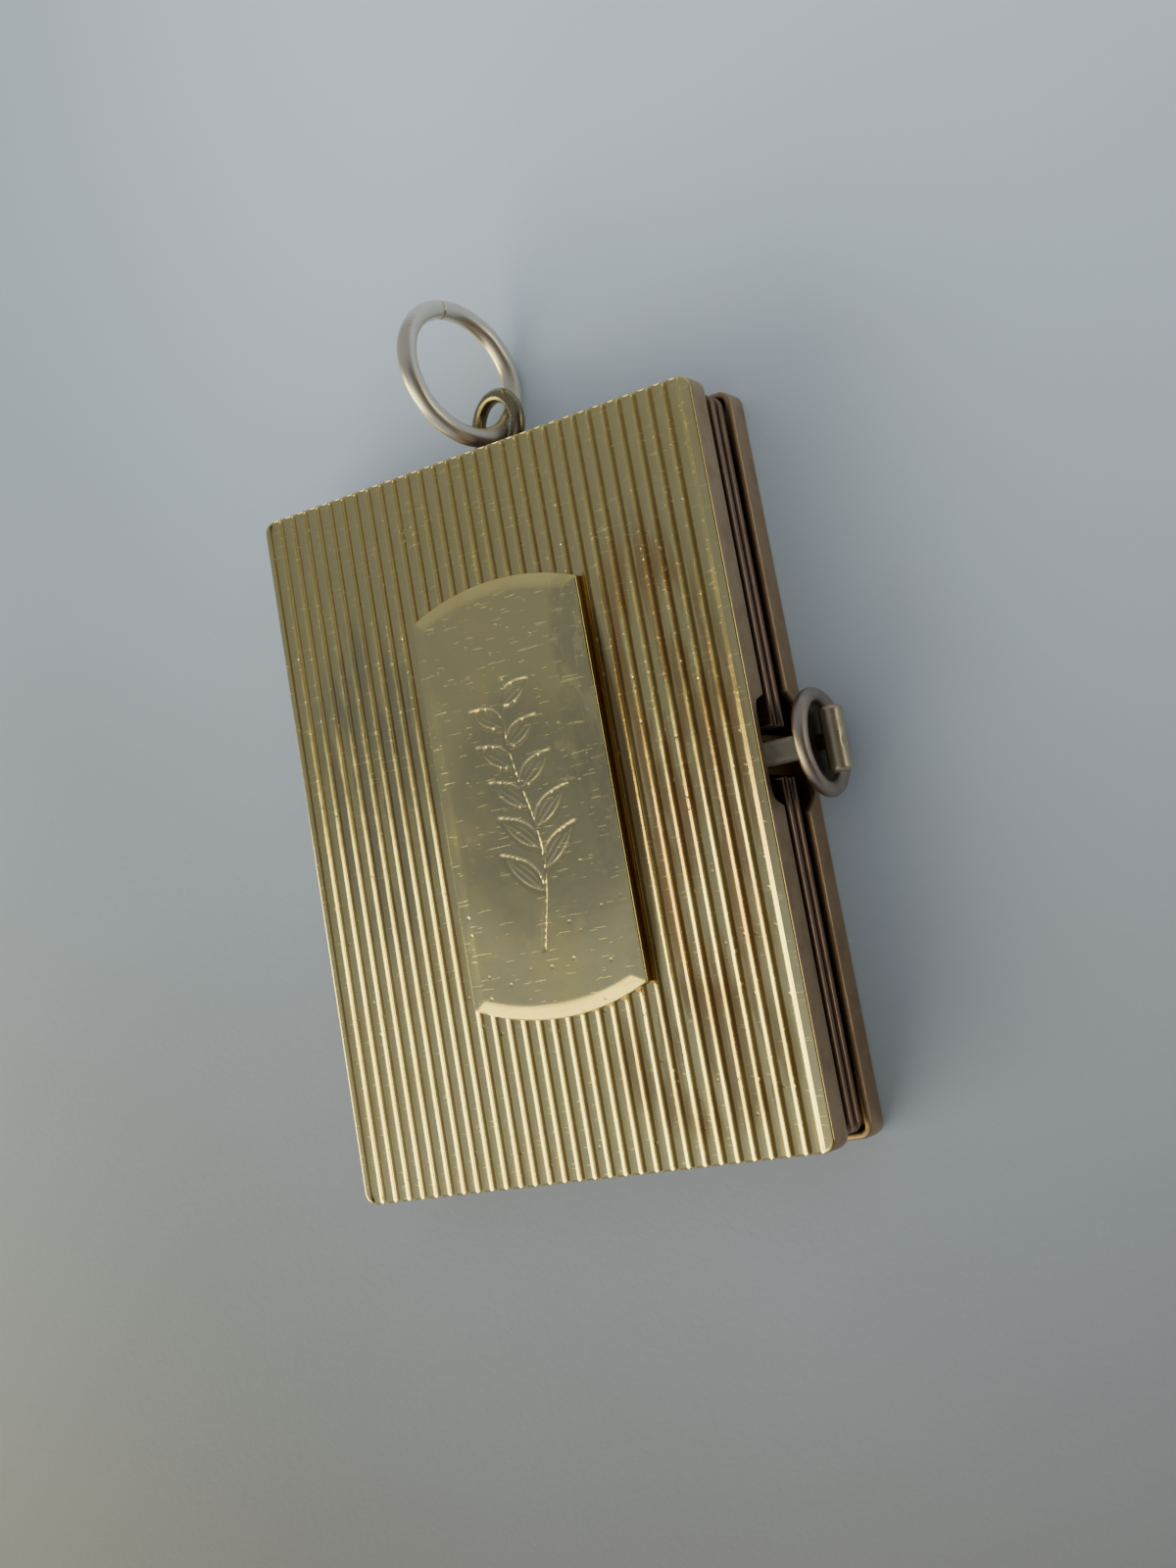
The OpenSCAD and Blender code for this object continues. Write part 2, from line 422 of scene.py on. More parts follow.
@dataclass(frozen=True)
class TableTop:
    """Pale painted table under the locket, with painted shade towards its near side and its left,
    and painted light, cooler and lighter, towards its far side.
    """

    name: str = "pale_table"
    # near and far end a colour ramp along Y: painted shade at the near side and painted light at
    # the far side.
    near: Colour = (0.155, 0.156, 0.158)
    far: Colour = (0.70, 0.83, 0.94)
    reach: float = 40.0
    turn: float = 8.0
    # Painted shade: the colour darkens towards the left.
    left_painted_shade: float = 0.36
    left_span: Span = (4.0, -26.0)
    shade: Colour = (0.0, 0.0, 0.0)
    cloud_scale: float = 0.05
    cloud_shift: float = 6.0
    grain_scale: float = 3.0
    grain_span: Span = (0.2, 0.8)
    grain_share: float = 0.06
    grain_tone: Colour = (0.4, 0.4, 0.4)
    grain_height: float = 0.01
    roughness: float = 0.5

    def material(self) -> bpy.types.Material:
        """Builds the table's material.

        Returns:
            The material.
        """
        made = bpy.data.materials.new(self.name)
        made.use_nodes = True
        graph = Graph(made.node_tree)
        origin = graph.add("ShaderNodeTexCoord").outputs["Object"]
        place = graph.add("ShaderNodeMapping",
                          {"Vector": origin, "Scale": (PER_MM,) * 3,
                           "Rotation": (0.0, 0.0, math.radians(-self.turn))}).outputs[0]
        grain = graph.noise(place, self.grain_scale, 4.0, 0.7)
        cloud = graph.noise(place, self.cloud_scale, 3.0, 0.5)
        along = graph.split(place)[1] + (cloud - 0.5) * self.cloud_shift
        # Painted shade and light: the ramp darkens the near side and the left, and lightens the far
        # side.
        tone = graph.blend(along.ramp(-self.reach, self.reach), self.near, self.far)
        tone = graph.blend(graph.split(place)[0].ramp(*self.left_span) * self.left_painted_shade, tone,
                           self.shade)
        colour = graph.blend(grain.ramp(*self.grain_span) * self.grain_share, tone,
                             self.grain_tone, "OVERLAY")
        bump = graph.add("ShaderNodeBump", {"Height": grain * self.grain_height, "Distance": MM})
        body = graph.add("ShaderNodeBsdfPrincipled",
                         {"Base Color": colour, "Roughness": self.roughness,
                          "Normal": bump.outputs[0]})
        out = graph.add("ShaderNodeOutputMaterial")
        made.node_tree.links.new(body.outputs[0], out.inputs[0])
        return made


FLUTED_GOLD = Gilding("fluted_gold", (0.94, 0.79, 0.33), (0.50, 0.36, 0.13),
                      tarnish_share=0.25, rough_low=0.10, rough_high=0.2, grain=0.0004,
                      scratches=0.0006, pits=0.006, waves=0.006, recess_dark=0.1,
                      # Orange-brown patch right of the plate: partly tarnish and partly painted
                      # reflection of gold in the flutes.
                      patches=(Patch((0.58, 0.29, 0.10), 0.6, (6.5, 0.0), (3.2, 10.0)),
                               # Dark strip along the plate's right edge: painted shadow of the
                               # plate on the flutes.
                               Patch((0.22, 0.15, 0.05), 0.75, (4.15, -0.5), (0.5, 8.0), cut=0.2),
                               Patch((0.40, 0.26, 0.10), 0.6, (5.5, -9.5), (4.0, 3.0)),
                               Patch((0.45, 0.40, 0.25), 0.5, (-6.0, 2.0), (3.0, 7.0))))
PLATE_GOLD = Gilding("plate_gold", (1.0, 0.84, 0.34), (0.62, 0.47, 0.16),
                     tarnish_share=0.30, rough_low=0.08, rough_high=0.2, grain=0.0005,
                     scratches=0.0012, pits=0.008, pit_scale=2.2, waves=0.006,
                     recess_dark=0.35,
                     patches=(Patch((0.66, 0.56, 0.26), 0.75, (0.8, -0.5), (4.2, 5.5),
                                    (0.5, 0.4, 0.5), 0.3),
                              # Darker strip inside the plate's right border: painted reflection in
                              # the sloped border.
                              Patch((0.60, 0.52, 0.24), 0.5, (3.3, 2.5), (1.0, 6.5),
                                    (2.0, 0.9, 0.5), 0.4)))
# Painted shade: the walls and the cover knuckles take a darker copy of the cover gold, for the
# shaded table that they mirror.
SHADED_WALL_GOLD = Gilding("shaded_wall_gold", (0.55, 0.385, 0.235), (0.32, 0.21, 0.125),
                    tarnish_share=0.45, tarnish_scale=0.8, rough_low=0.34, rough_high=0.5,
                    grain=0.0010, scratches=0.0010, pits=0.003)
PLAIN_GOLD = Gilding("plain_gold", (0.88, 0.72, 0.36), (0.50, 0.36, 0.16),
                     tarnish_share=0.4, rough_low=0.2, rough_high=0.36,
                     scratches=0.0012, pits=0.003, waves=0.004)
# Painted shade: dark brown gold for the tray's inside, the plate's side wall and the lug, which sit
# in shade.
SHADED_INSIDE_GOLD = Gilding("shaded_inside_gold", (0.34, 0.20, 0.09), (0.14, 0.07, 0.03),
                      tarnish_share=0.5, rough_low=0.3, rough_high=0.45)
LEAF_GOLD = Gilding("leaf_gold", (0.36, 0.25, 0.18), (0.20, 0.12, 0.08),
                    tarnish_share=0.4, tarnish_scale=0.6, rough_low=0.26, rough_high=0.42)
PIN_METAL = Gilding("pin_metal", (0.72, 0.62, 0.42), (0.40, 0.31, 0.18),
                    rough_low=0.28, rough_high=0.42)
# Painted sheen: the pale, half-metal finish lets the table lights brighten the post where its
# mirror cannot catch the lamps.
POST_SHEEN_METAL = Gilding("post_sheen_metal", (0.80, 0.74, 0.58), (0.36, 0.30, 0.18), metal=0.5,
                     tarnish_share=0.5, tarnish_scale=1.6, rough_low=0.1, rough_high=0.22,
                     scratches=0.0012, pits=0.003, pit_scale=3.0, waves=0.01)
THUMB_METAL = Gilding("thumb_metal", (0.46, 0.38, 0.33), (0.34, 0.27, 0.22),
                      tarnish_share=0.5, tarnish_scale=1.4, rough_low=0.32, rough_high=0.46,
                      grain=0.0016, scratches=0.0012, pits=0.003, pit_scale=3.0)
BAR_METAL = Gilding("bar_metal", (0.50, 0.44, 0.30), (0.36, 0.31, 0.20), metal=0.85,
                    tarnish_share=0.5, tarnish_scale=1.6, rough_low=0.22, rough_high=0.38,
                    grain=0.0012, scratches=0.0012, pits=0.003, pit_scale=3.0, waves=0.01)
# Painted shade: near-black finish for the web and the neck inside the thumb ring, which sit in
# shade.
SHADED_WEB_METAL = Gilding("shaded_web_metal", (0.10, 0.075, 0.045), (0.05, 0.035, 0.02),
                    tarnish_share=0.5, tarnish_scale=1.6, rough_low=0.4, rough_high=0.55)
EYE_METAL = Gilding("eye_metal", (0.30, 0.26, 0.16), (0.14, 0.11, 0.06),
                    tarnish_share=0.5, tarnish_scale=1.5, rough_low=0.18, rough_high=0.32,
                    scratches=0.0012, pits=0.003, pit_scale=3.0, waves=0.01)
RING_METAL = Gilding("ring_metal", (0.50, 0.43, 0.33), (0.20, 0.15, 0.10),
                     tarnish_share=0.7, tarnish_scale=0.9, rough_low=0.26, rough_high=0.44,
                     scratches=0.0012, pits=0.003, pit_scale=3.0, waves=0.012)


# Meshes


def place_piece(name: str, mesh: bpy.types.Mesh, finishes: Sequence[Gilding], body: Body,
                stands_for: Sequence[str] = (),
                sharp: float = 40.0) -> bpy.types.Object:
    """Puts a finished mesh in the scene as a piece that rides on its body.

    Args:
        name: The piece's name.
        mesh: Its mesh, in metres in the frame's axes.
        finishes: A finish for each material place of the mesh.
        body: The body that carries it.
        stands_for: CAD nodes that it replaces.
        sharp: Angle from which an edge stays sharp, in degrees.

    Returns:
        The object.
    """
    paints = np.zeros(len(mesh.polygons), dtype=np.int32)
    mesh.polygons.foreach_get("material_index", paints)
    mesh.materials.clear()
    for finish in finishes:
        mesh.materials.append(finish.material())
    mesh.polygons.foreach_set("material_index", paints)
    mesh.polygons.foreach_set("use_smooth", [True] * len(mesh.polygons))
    mesh.set_sharp_from_angle(angle=math.radians(sharp))
    mesh.update()
    piece = bpy.data.objects.new(name, mesh)
    mesh.name = name
    bpy.context.scene.collection.objects.link(piece)
    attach(piece, body.value)
    if stands_for:
        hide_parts(*stands_for)
    LOG.info("%s: %d faces, rides on %s", name, len(mesh.polygons), body.value)
    return piece


def to_mesh(bm: bmesh.types.BMesh, name: str) -> bpy.types.Mesh:
    """Merges doubles, turns the faces outwards and gives the mesh.

    Args:
        bm: Closed shells in millimetres.
        name: The mesh's name.

    Returns:
        The mesh in metres.
    """
    bmesh.ops.remove_doubles(bm, verts=bm.verts, dist=1e-5)
    bmesh.ops.recalc_face_normals(bm, faces=bm.faces)
    bmesh.ops.scale(bm, vec=Vector((MM,) * 3), verts=bm.verts)
    mesh = bpy.data.meshes.new(name)
    bm.to_mesh(mesh)
    bm.free()
    return mesh


def add_loops(bm: bmesh.types.BMesh, loops: Sequence[np.ndarray], ends: bool = True,
              ring: bool = False, paint: int = 0) -> None:
    """Skins a row of closed loops that have as many points each.

    Args:
        bm: The mesh that takes the faces.
        loops: Points of each loop, n by 3.
        ends: Whether the first and last loops are closed with a face.
        ring: Whether the last loop joins the first.
        paint: Material place of the faces.
    """
    rows = [[bm.verts.new(p) for p in loop] for loop in loops]
    pairs = list(zip(rows, rows[1:])) + ([(rows[-1], rows[0])] if ring else [])
    count = len(rows[0])
    for low, high in pairs:
        for i in range(count):
            j = (i + 1) % count
            bm.faces.new((low[i], low[j], high[j], high[i])).material_index = paint
    if ends and not ring:
        for row in (rows[0], rows[-1]):
            bm.faces.new(row).material_index = paint


def turned(profile: Iterable[tuple[float, float]], axis: str, centre: Sequence[float],
           steps: int = 48) -> list[np.ndarray]:
    """Loops of a turned shape.

    Args:
        profile: Pairs of place along the axis and radius, in millimetres.
        axis: X, Y or Z.
        centre: The axis passes here, and places along it count from here.
        steps: Points in a loop.

    Returns:
        The loops, for add_loops.
    """
    along = "XYZ".index(axis)
    first, second = (along + 1) % 3, (along + 2) % 3
    angle = np.linspace(0, 2 * math.pi, steps, endpoint=False)
    loops = []
    for place, radius in profile:
        loop = np.tile(np.array(centre, float), (steps, 1))
        loop[:, along] += place
        loop[:, first] += radius * np.cos(angle)
        loop[:, second] += radius * np.sin(angle)
        loops.append(loop)
    return loops


def rounded_end(place: float, radius: float, edge: float, way: int,
                steps: int = 4) -> list[tuple[float, float]]:
    """Profile of a turned end with a rounded edge.

    Args:
        place: Where the end lies along the axis.
        radius: Radius of the shape.
        edge: Radius of the rounded edge.
        way: 1 if the end looks up the axis and -1 if it looks down.
        steps: Steps of the rounding.

    Returns:
        Pairs of place and radius, in the order of growing place.
    """
    pairs = []
    for k in range(steps + 1):
        a = k * math.pi / 2 / steps
        pairs.append((place - way * edge * (1 - math.sin(a)), radius - edge * (1 - math.cos(a))))
    return pairs if way > 0 else pairs[::-1]


def quarter(degrees: Iterable[float]) -> list[tuple[float, float]]:
    """Shares of a quarter round at each angle: 1 less its cosine, and 1 less its sine."""
    return [(1 - math.cos(math.radians(a)), 1 - math.sin(math.radians(a))) for a in degrees]


def wire_loops(radius: float, wire: float, steps: int = 128, sides: int = 20,
               shape: Callable[[float, float], float] | None = None) -> list[np.ndarray]:
    """Loops of a ring of wire lying flat round Z.

    Args:
        radius: To the middle of the wire.
        wire: Thickness of the wire.
        steps: Loops round the ring.
        sides: Points round the wire.
        shape: Gives a factor for the wire's radius from the two angles.

    Returns:
        The loops, for add_loops with ring set.
    """
    loops = []
    for i in range(steps):
        a = 2 * math.pi * i / steps
        loop = []
        for j in range(sides):
            b = 2 * math.pi * j / sides
            r = wire / 2 * (shape(a, b) if shape else 1.0)
            out = radius + r * math.cos(b)
            loop.append((out * math.cos(a), out * math.sin(a), r * math.sin(b)))
        loops.append(np.array(loop))
    return loops


def moved(loops: Iterable[np.ndarray], matrix: Matrix) -> list[np.ndarray]:
    """The loops moved by a matrix."""
    m = np.array(matrix)
    return [loop @ m[:3, :3].T + m[:3, 3] for loop in loops]


def offset_loop(loop: np.ndarray, outset: float) -> np.ndarray:
    """Moves a closed loop outwards in its plane.

    Args:
        loop: Points that run round against the clock, n by 2.
        outset: How far, below 0 for inwards.

    Returns:
        The moved points.
    """
    ahead = np.roll(loop, -1, axis=0) - loop
    ahead /= np.linalg.norm(ahead, axis=1, keepdims=True) + 1e-12
    normal = np.stack([ahead[:, 1], -ahead[:, 0]], axis=1)
    mean = normal + np.roll(normal, 1, axis=0)
    mean /= np.linalg.norm(mean, axis=1, keepdims=True)
    stretch = 1 / np.maximum((mean * normal).sum(1), 0.7)
    return loop + mean * (outset * stretch)[:, None]


def edge_loop(bm: bmesh.types.BMesh) -> list[bmesh.types.BMVert]:
    """Follows a sheet's open edge.

    Args:
        bm: The sheet.

    Returns:
        The vertices round the edge, against the clock seen from above.
    """
    edges = [e for e in bm.edges if len(e.link_faces) == 1]
    nexts: dict[bmesh.types.BMVert, list] = {}
    for e in edges:
        for v in e.verts:
            nexts.setdefault(v, []).append(e.other_vert(v))
    start = edges[0].verts[0]
    loop, before = [start], None
    while True:
        step = next(v for v in nexts[loop[-1]] if v is not before)
        if step is start:
            break
        before = loop[-1]
        loop.append(step)
    xy = np.array([v.co[:2] for v in loop])
    ahead = np.roll(xy, -1, axis=0)
    area = (xy[:, 0] * ahead[:, 1] - xy[:, 1] * ahead[:, 0]).sum()
    return loop if area > 0 else loop[::-1]


@dataclass(frozen=True)
class Step:
    """One loop that carries a sheet's edge on: how far out, at what height, in what paint.

    The share of waves is how much of the edge's own ups and downs the loop still has.
    """

    outset: float
    height: float
    paint: int = 1
    waves: float = 0.0


def wrap_sheet(bm: bmesh.types.BMesh, steps: Sequence[Step],
               lift: Callable[[np.ndarray, float], np.ndarray] | None = None,
               cap_paint: int = 2) -> None:
    """Carries a sheet's open edge through loops and closes the shell with a face.

    Args:
        bm: The sheet, in millimetres.
        steps: The loops.
        lift: Gives the heights of a loop's points from the edge's points and the step's height.
        cap_paint: Material place of the closing face.
    """
    before = edge_loop(bm)
    base = np.array([v.co[:2] for v in before])
    count = len(before)
    edge_z = np.array([v.co[2] for v in before])
    # Ups and downs count from the highest point of a face that looks up, else from the lowest.
    wave = edge_z - (edge_z.max() if edge_z[0] > 1 else edge_z.min())
    for step in steps:
        xy = offset_loop(base, step.outset)
        z = lift(base, step.height) if lift else np.full(count, step.height)
        z = z + wave * step.waves
        row = [bm.verts.new((x, y, h)) for (x, y), h in zip(xy, z)]
        for i in range(count):
            j = (i + 1) % count
            face = bm.faces.new((before[i], before[j], row[j], row[i]))
            face.material_index = step.paint
        before = row
    bm.faces.new(before).material_index = cap_paint


# Geometry Nodes trees


def open_tree(name: str, inputs: dict[str, str]) -> tuple[Graph, bpy.types.Node]:
    """Starts a Geometry Nodes tree.

    Args:
        name: The tree's name.
        inputs: Socket type of each named input.

    Returns:
        Its graph and its input node.
    """
    tree = bpy.data.node_groups.new(name, "GeometryNodeTree")
    graph = Graph(tree)
    tree.interface.new_socket("Geometry", in_out="OUTPUT", socket_type="NodeSocketGeometry")
    tree.interface.new_socket("Geometry", in_out="INPUT", socket_type="NodeSocketGeometry")
    for label, kind in inputs.items():
        tree.interface.new_socket(label, in_out="INPUT", socket_type="NodeSocket" + kind)
    return graph, graph.add("NodeGroupInput")


def close_tree(graph: Graph, shape: bpy.types.NodeSocket, given: bpy.types.Node) -> None:
    """Ends a tree in Realize Instances and Set Material.

    Args:
        graph: The tree's graph.
        shape: The geometry so far.
        given: The tree's input node, which has a Material input.
    """
    real = graph.add("GeometryNodeRealizeInstances", {0: shape})
    dressed = graph.add("GeometryNodeSetMaterial", {"Geometry": real.outputs[0],
                                                    "Material": given.outputs["Material"]})
    out = graph.add("NodeGroupOutput")
    graph.tree.links.new(dressed.outputs[0], out.inputs[0])


def grow(tree: bpy.types.NodeTree, values: dict[str, object],
         seed: bpy.types.Mesh | None = None) -> bpy.types.Mesh:
    """Runs a tree and gives what it makes as a plain mesh.

    Args:
        tree: The tree.
        values: Its inputs by name.
        seed: The mesh that it starts from.

    Returns:
        The mesh, with the modifier gone.
    """
    host = bpy.data.objects.new(tree.name, seed or bpy.data.meshes.new(tree.name))
    bpy.context.scene.collection.objects.link(host)
    modifier = host.modifiers.new(tree.name, "NODES")
    modifier.node_group = tree
    for item in tree.interface.items_tree:
        if item.item_type == "SOCKET" and item.in_out == "INPUT" and item.name in values:
            modifier[item.identifier] = values[item.name]
    depsgraph = bpy.context.evaluated_depsgraph_get()
    made = bpy.data.meshes.new_from_object(host.evaluated_get(depsgraph))
    host.modifiers.remove(modifier)
    bpy.data.objects.remove(host)
    return made


def fluted_face_tree() -> bpy.types.NodeTree:
    """Tree of a cover's face: a sheet with rounded corners and a row of round flutes.

    Returns:
        The tree.
    """
    graph, given = open_tree("fluted_face", {
        "Half Width": "Float", "Half Height": "Float", "Corner": "Float", "Level": "Float",
        "Facing": "Float", "Columns": "Int", "Rows": "Int", "Gather": "Float",
        "Pitch": "Float", "Flute Radius": "Float", "Flute Depth": "Float",
        "Flutes Half Width": "Float", "Flutes Middle": "Float", "Dents": "Float",
        "Material": "Material"})
    give = {name: graph.num(given.outputs[name]) for name in (
        "Half Width", "Half Height", "Corner", "Level", "Facing", "Gather", "Pitch",
        "Flute Radius", "Flute Depth", "Flutes Half Width", "Flutes Middle", "Dents")}
    grid = graph.add("GeometryNodeMeshGrid", {
        "Size X": 2.0, "Size Y": 2.0, "Vertices X": given.outputs["Columns"],
        "Vertices Y": given.outputs["Rows"]})
    u, v, _ = graph.split(graph.add("GeometryNodeInputPosition").outputs[0])
    gather = give["Gather"]
    eased = (v * (math.pi / 2)).op("SINE") * gather + v * (gather * -1.0 + 1.0)
    x, y = u * give["Half Width"], eased * give["Half Height"]
    corner = give["Corner"]
    flat_x, flat_y = give["Half Width"] - corner, give["Half Height"] - corner
    past_x = ((x.size() - flat_x) / corner).at_least(0.0)
    past_y = ((y.size() - flat_y) / corner).at_least(0.0)
    new_x = x.size().at_most(flat_x) + corner * past_x * (past_y * past_y * -0.5 + 1.0).root()
    new_y = y.size().at_most(flat_y) + corner * past_y * (past_x * past_x * -0.5 + 1.0).root()

    across = x - give["Flutes Middle"]
    cell = across / give["Pitch"]
    off = ((cell - cell.op("FLOOR") - 0.5) * give["Pitch"]).size()
    radius = give["Flute Radius"]
    sag = radius - (radius * radius - off * off).root()
    inside = across.size().op("LESS_THAN", give["Flutes Half Width"])
    cut = (give["Flute Depth"] - sag).at_least(0.0) * inside
    spot = graph.add("ShaderNodeCombineXYZ", {0: x, 1: y})
    dents = (graph.noise(spot.outputs[0], 0.5, 3.0, 0.6) - 0.5) * give["Dents"]
    z = give["Level"] + (dents - cut) * give["Facing"]
    target = graph.add("ShaderNodeCombineXYZ", {
        0: new_x * x.op("SIGN"), 1: new_y * y.op("SIGN"), 2: z})
    kept = graph.add("GeometryNodeStoreNamedAttribute", {
        "Geometry": grid.outputs[0], "Name": "recess", "Value": cut / give["Flute Depth"]},
        data_type="FLOAT", domain="POINT")
    placed = graph.add("GeometryNodeSetPosition", {
        "Geometry": kept.outputs[0], "Position": target.outputs[0]})
    close_tree(graph, placed.outputs[0], given)
    return graph.tree


def row_tree() -> bpy.types.NodeTree:
    """Tree of a row along Y: copies of the given mesh at equal steps.

    Returns:
        The tree.
    """
    graph, given = open_tree("row_along_y", {
        "Count": "Int", "Start": "Float", "Step": "Float", "Material": "Material"})
    start = graph.add("ShaderNodeCombineXYZ", {1: given.outputs["Start"]})
    step = graph.add("ShaderNodeCombineXYZ", {1: given.outputs["Step"]})
    line = graph.add("GeometryNodeMeshLine", {
        "Count": given.outputs["Count"], "Start Location": start.outputs[0],
        "Offset": step.outputs[0]}, mode="OFFSET")
    copies = graph.add("GeometryNodeInstanceOnPoints", {
        "Points": line.outputs[0], "Instance": given.outputs["Geometry"]})
    close_tree(graph, copies.outputs[0], given)
    return graph.tree


# Sub-assemblies


@dataclass
class Case:
    """Sizes that the covers, the leaves, the hinge and the catch share."""

    width: float = 18.9
    height: float = 26.0
    thickness: float = 4.2
    tray_depth: float = 1.15
    wall: float = 0.25
    face: float = 0.35
    corner: float = 0.45
    pitch: float = 0.61
    notch_length: float = 3.75
    notch_strip: float = 0.36
    notch_round: float = 0.6
    catch_y: float = 0.0

    @property
    def fore_x(self) -> float:
        """Place of the fore-edge walls' outer faces."""
        return self.width / 2

    @property
    def mid_z(self) -> float:
        """Height of the pin and of the catch."""
        return self.thickness / 2


@dataclass
class Cover:
    """A shallow tray with a rolled edge, whose outer face is fluted or plain."""

    case: Case
    side: Side
    columns_per_flute: int = 14
    flutes: int = 30
    flutes_x: float = -0.076
    flute_depth: float = 0.113
    least_edge: float = 0.06
    lip: float = 0.09
    fillet: float = 0.12
    face_turn: float = 1.2
    wall_depths: tuple[float, ...] = (0.3, 0.5, 0.75)
    notch_from: float = 0.25
    dents: float = 0.008
    rows: int = 150
    gather: float = 0.5

    def _face(self, tree: bpy.types.NodeTree) -> tuple[bpy.types.Mesh, float]:
        """Grows the outer face.

        Args:
            tree: The face's tree.

        Returns:
            The sheet in millimetres, and the radius left for the rolled edge.
        """
        case, front = self.case, self.side is Side.FRONT
        step = case.pitch / self.columns_per_flute * (1 if front else 4)
        half_columns = int((case.width / 2 - self.least_edge) / step)
        half_width = half_columns * step
        edge = case.width / 2 - half_width
        chord = case.pitch / 2
        radius = (chord ** 2 + self.flute_depth ** 2) / (2 * self.flute_depth)
        sheet = grow(tree, {
            "Half Width": half_width, "Half Height": case.height / 2 - edge,
            "Corner": case.corner - edge, "Facing": float(self.side.value),
            "Level": case.thickness if front else 0.0,
            "Columns": 2 * half_columns + 1, "Rows": self.rows,
            "Gather": self.gather, "Pitch": case.pitch, "Flute Radius": radius,
            "Flute Depth": self.flute_depth,
            "Flutes Half Width": self.flutes * case.pitch / 2 if front else 0.0,
            "Flutes Middle": self.flutes_x,
            "Dents": self.dents if front else 0.0,
            "Material": FLUTED_GOLD.material()})
        return sheet, edge

    def _depth_to_z(self, depth: float) -> float:
        """Height in the frame of a depth below the outer face."""
        return self.case.thickness - depth if self.side is Side.FRONT else depth

    def _steps(self, edge: float) -> list[Step]:
        """Loops of the rolled edge, the wall, its lip and the tray's inside.

        Args:
            edge: Radius of the rolled edge.

        Returns:
            The loops, whose heights are depths below the outer face.
        """
        case, lip, fillet = self.case, self.lip, self.fillet
        rim, inner = case.tray_depth, edge - case.wall
        steps = []
        for a in np.linspace(0, math.pi / 2, 7)[1:]:
            paint = 0 if a < self.face_turn else 1
            steps.append(Step(edge * math.sin(a), edge * (1 - math.cos(a)), paint, math.cos(a)))
        steps += [Step(edge, depth) for depth in (*self.wall_depths, rim - lip)]
        steps += [Step(edge - lip * c, rim - lip * s) for c, s in quarter((30, 60, 90))]
        steps += [Step(inner + lip * c, rim - lip * s) for c, s in quarter((90, 60, 30, 0))]
        steps += [Step(inner - fillet * c, case.face + fillet * s, 2)
                  for c, s in quarter((0, 30, 60, 90))]
        return steps

    def _notched(self, base: np.ndarray, depth: float) -> np.ndarray:
        """Heights of a loop's points, where the wall is lower in the catch's notch.

        Args:
            base: The face's edge, n by 2.
            depth: Depth of the loop below the outer face.

        Returns:
            The heights in the frame.
        """
        case = self.case
        half, radius = case.notch_length / 2, case.notch_round
        off = np.abs(base[:, 1] - case.catch_y)
        past = np.maximum(off - (half - radius), 0)
        arc = case.notch_strip + radius - np.sqrt(np.maximum(radius ** 2 - past ** 2, 0))
        at_fore_edge = base[:, 0] > case.fore_x - case.corner
        rim = np.where(at_fore_edge & (off < half), arc, case.tray_depth)
        start = self.notch_from
        share = np.clip((depth - start) / (case.tray_depth - start), 0, 1)
        depths = np.where(depth > start, start + share * (rim - start), depth)
        return np.array([self._depth_to_z(d) for d in depths])

    def build(self, tree: bpy.types.NodeTree) -> bpy.types.Object:
        """Builds the tray as one closed shell.

        Args:
            tree: The face's tree.

        Returns:
            The piece.
        """
        sheet, edge = self._face(tree)
        bm = bmesh.new()
        bm.from_mesh(sheet)
        for face in bm.faces:
            face.material_index = 0
        wrap_sheet(bm, self._steps(edge), self._notched)
        front = self.side is Side.FRONT
        outer = FLUTED_GOLD if front else PLAIN_GOLD
        # The walls are painted darker than the face, and the tray's inside darker still: painted
        # shade.
        return place_piece(
            "front_cover_shell" if front else "back_cover_shell",
            to_mesh(bm, "cover"), (outer, SHADED_WALL_GOLD, SHADED_INSIDE_GOLD),
            Body.FRONT if front else Body.BACK,
            ("front_cover",) if front else ("back_cover",))


@dataclass(frozen=True)
class Stroke:
    """One engraved line: its points on the plate, its half width and its depth."""

    points: np.ndarray
    half_width: float
    depth: float


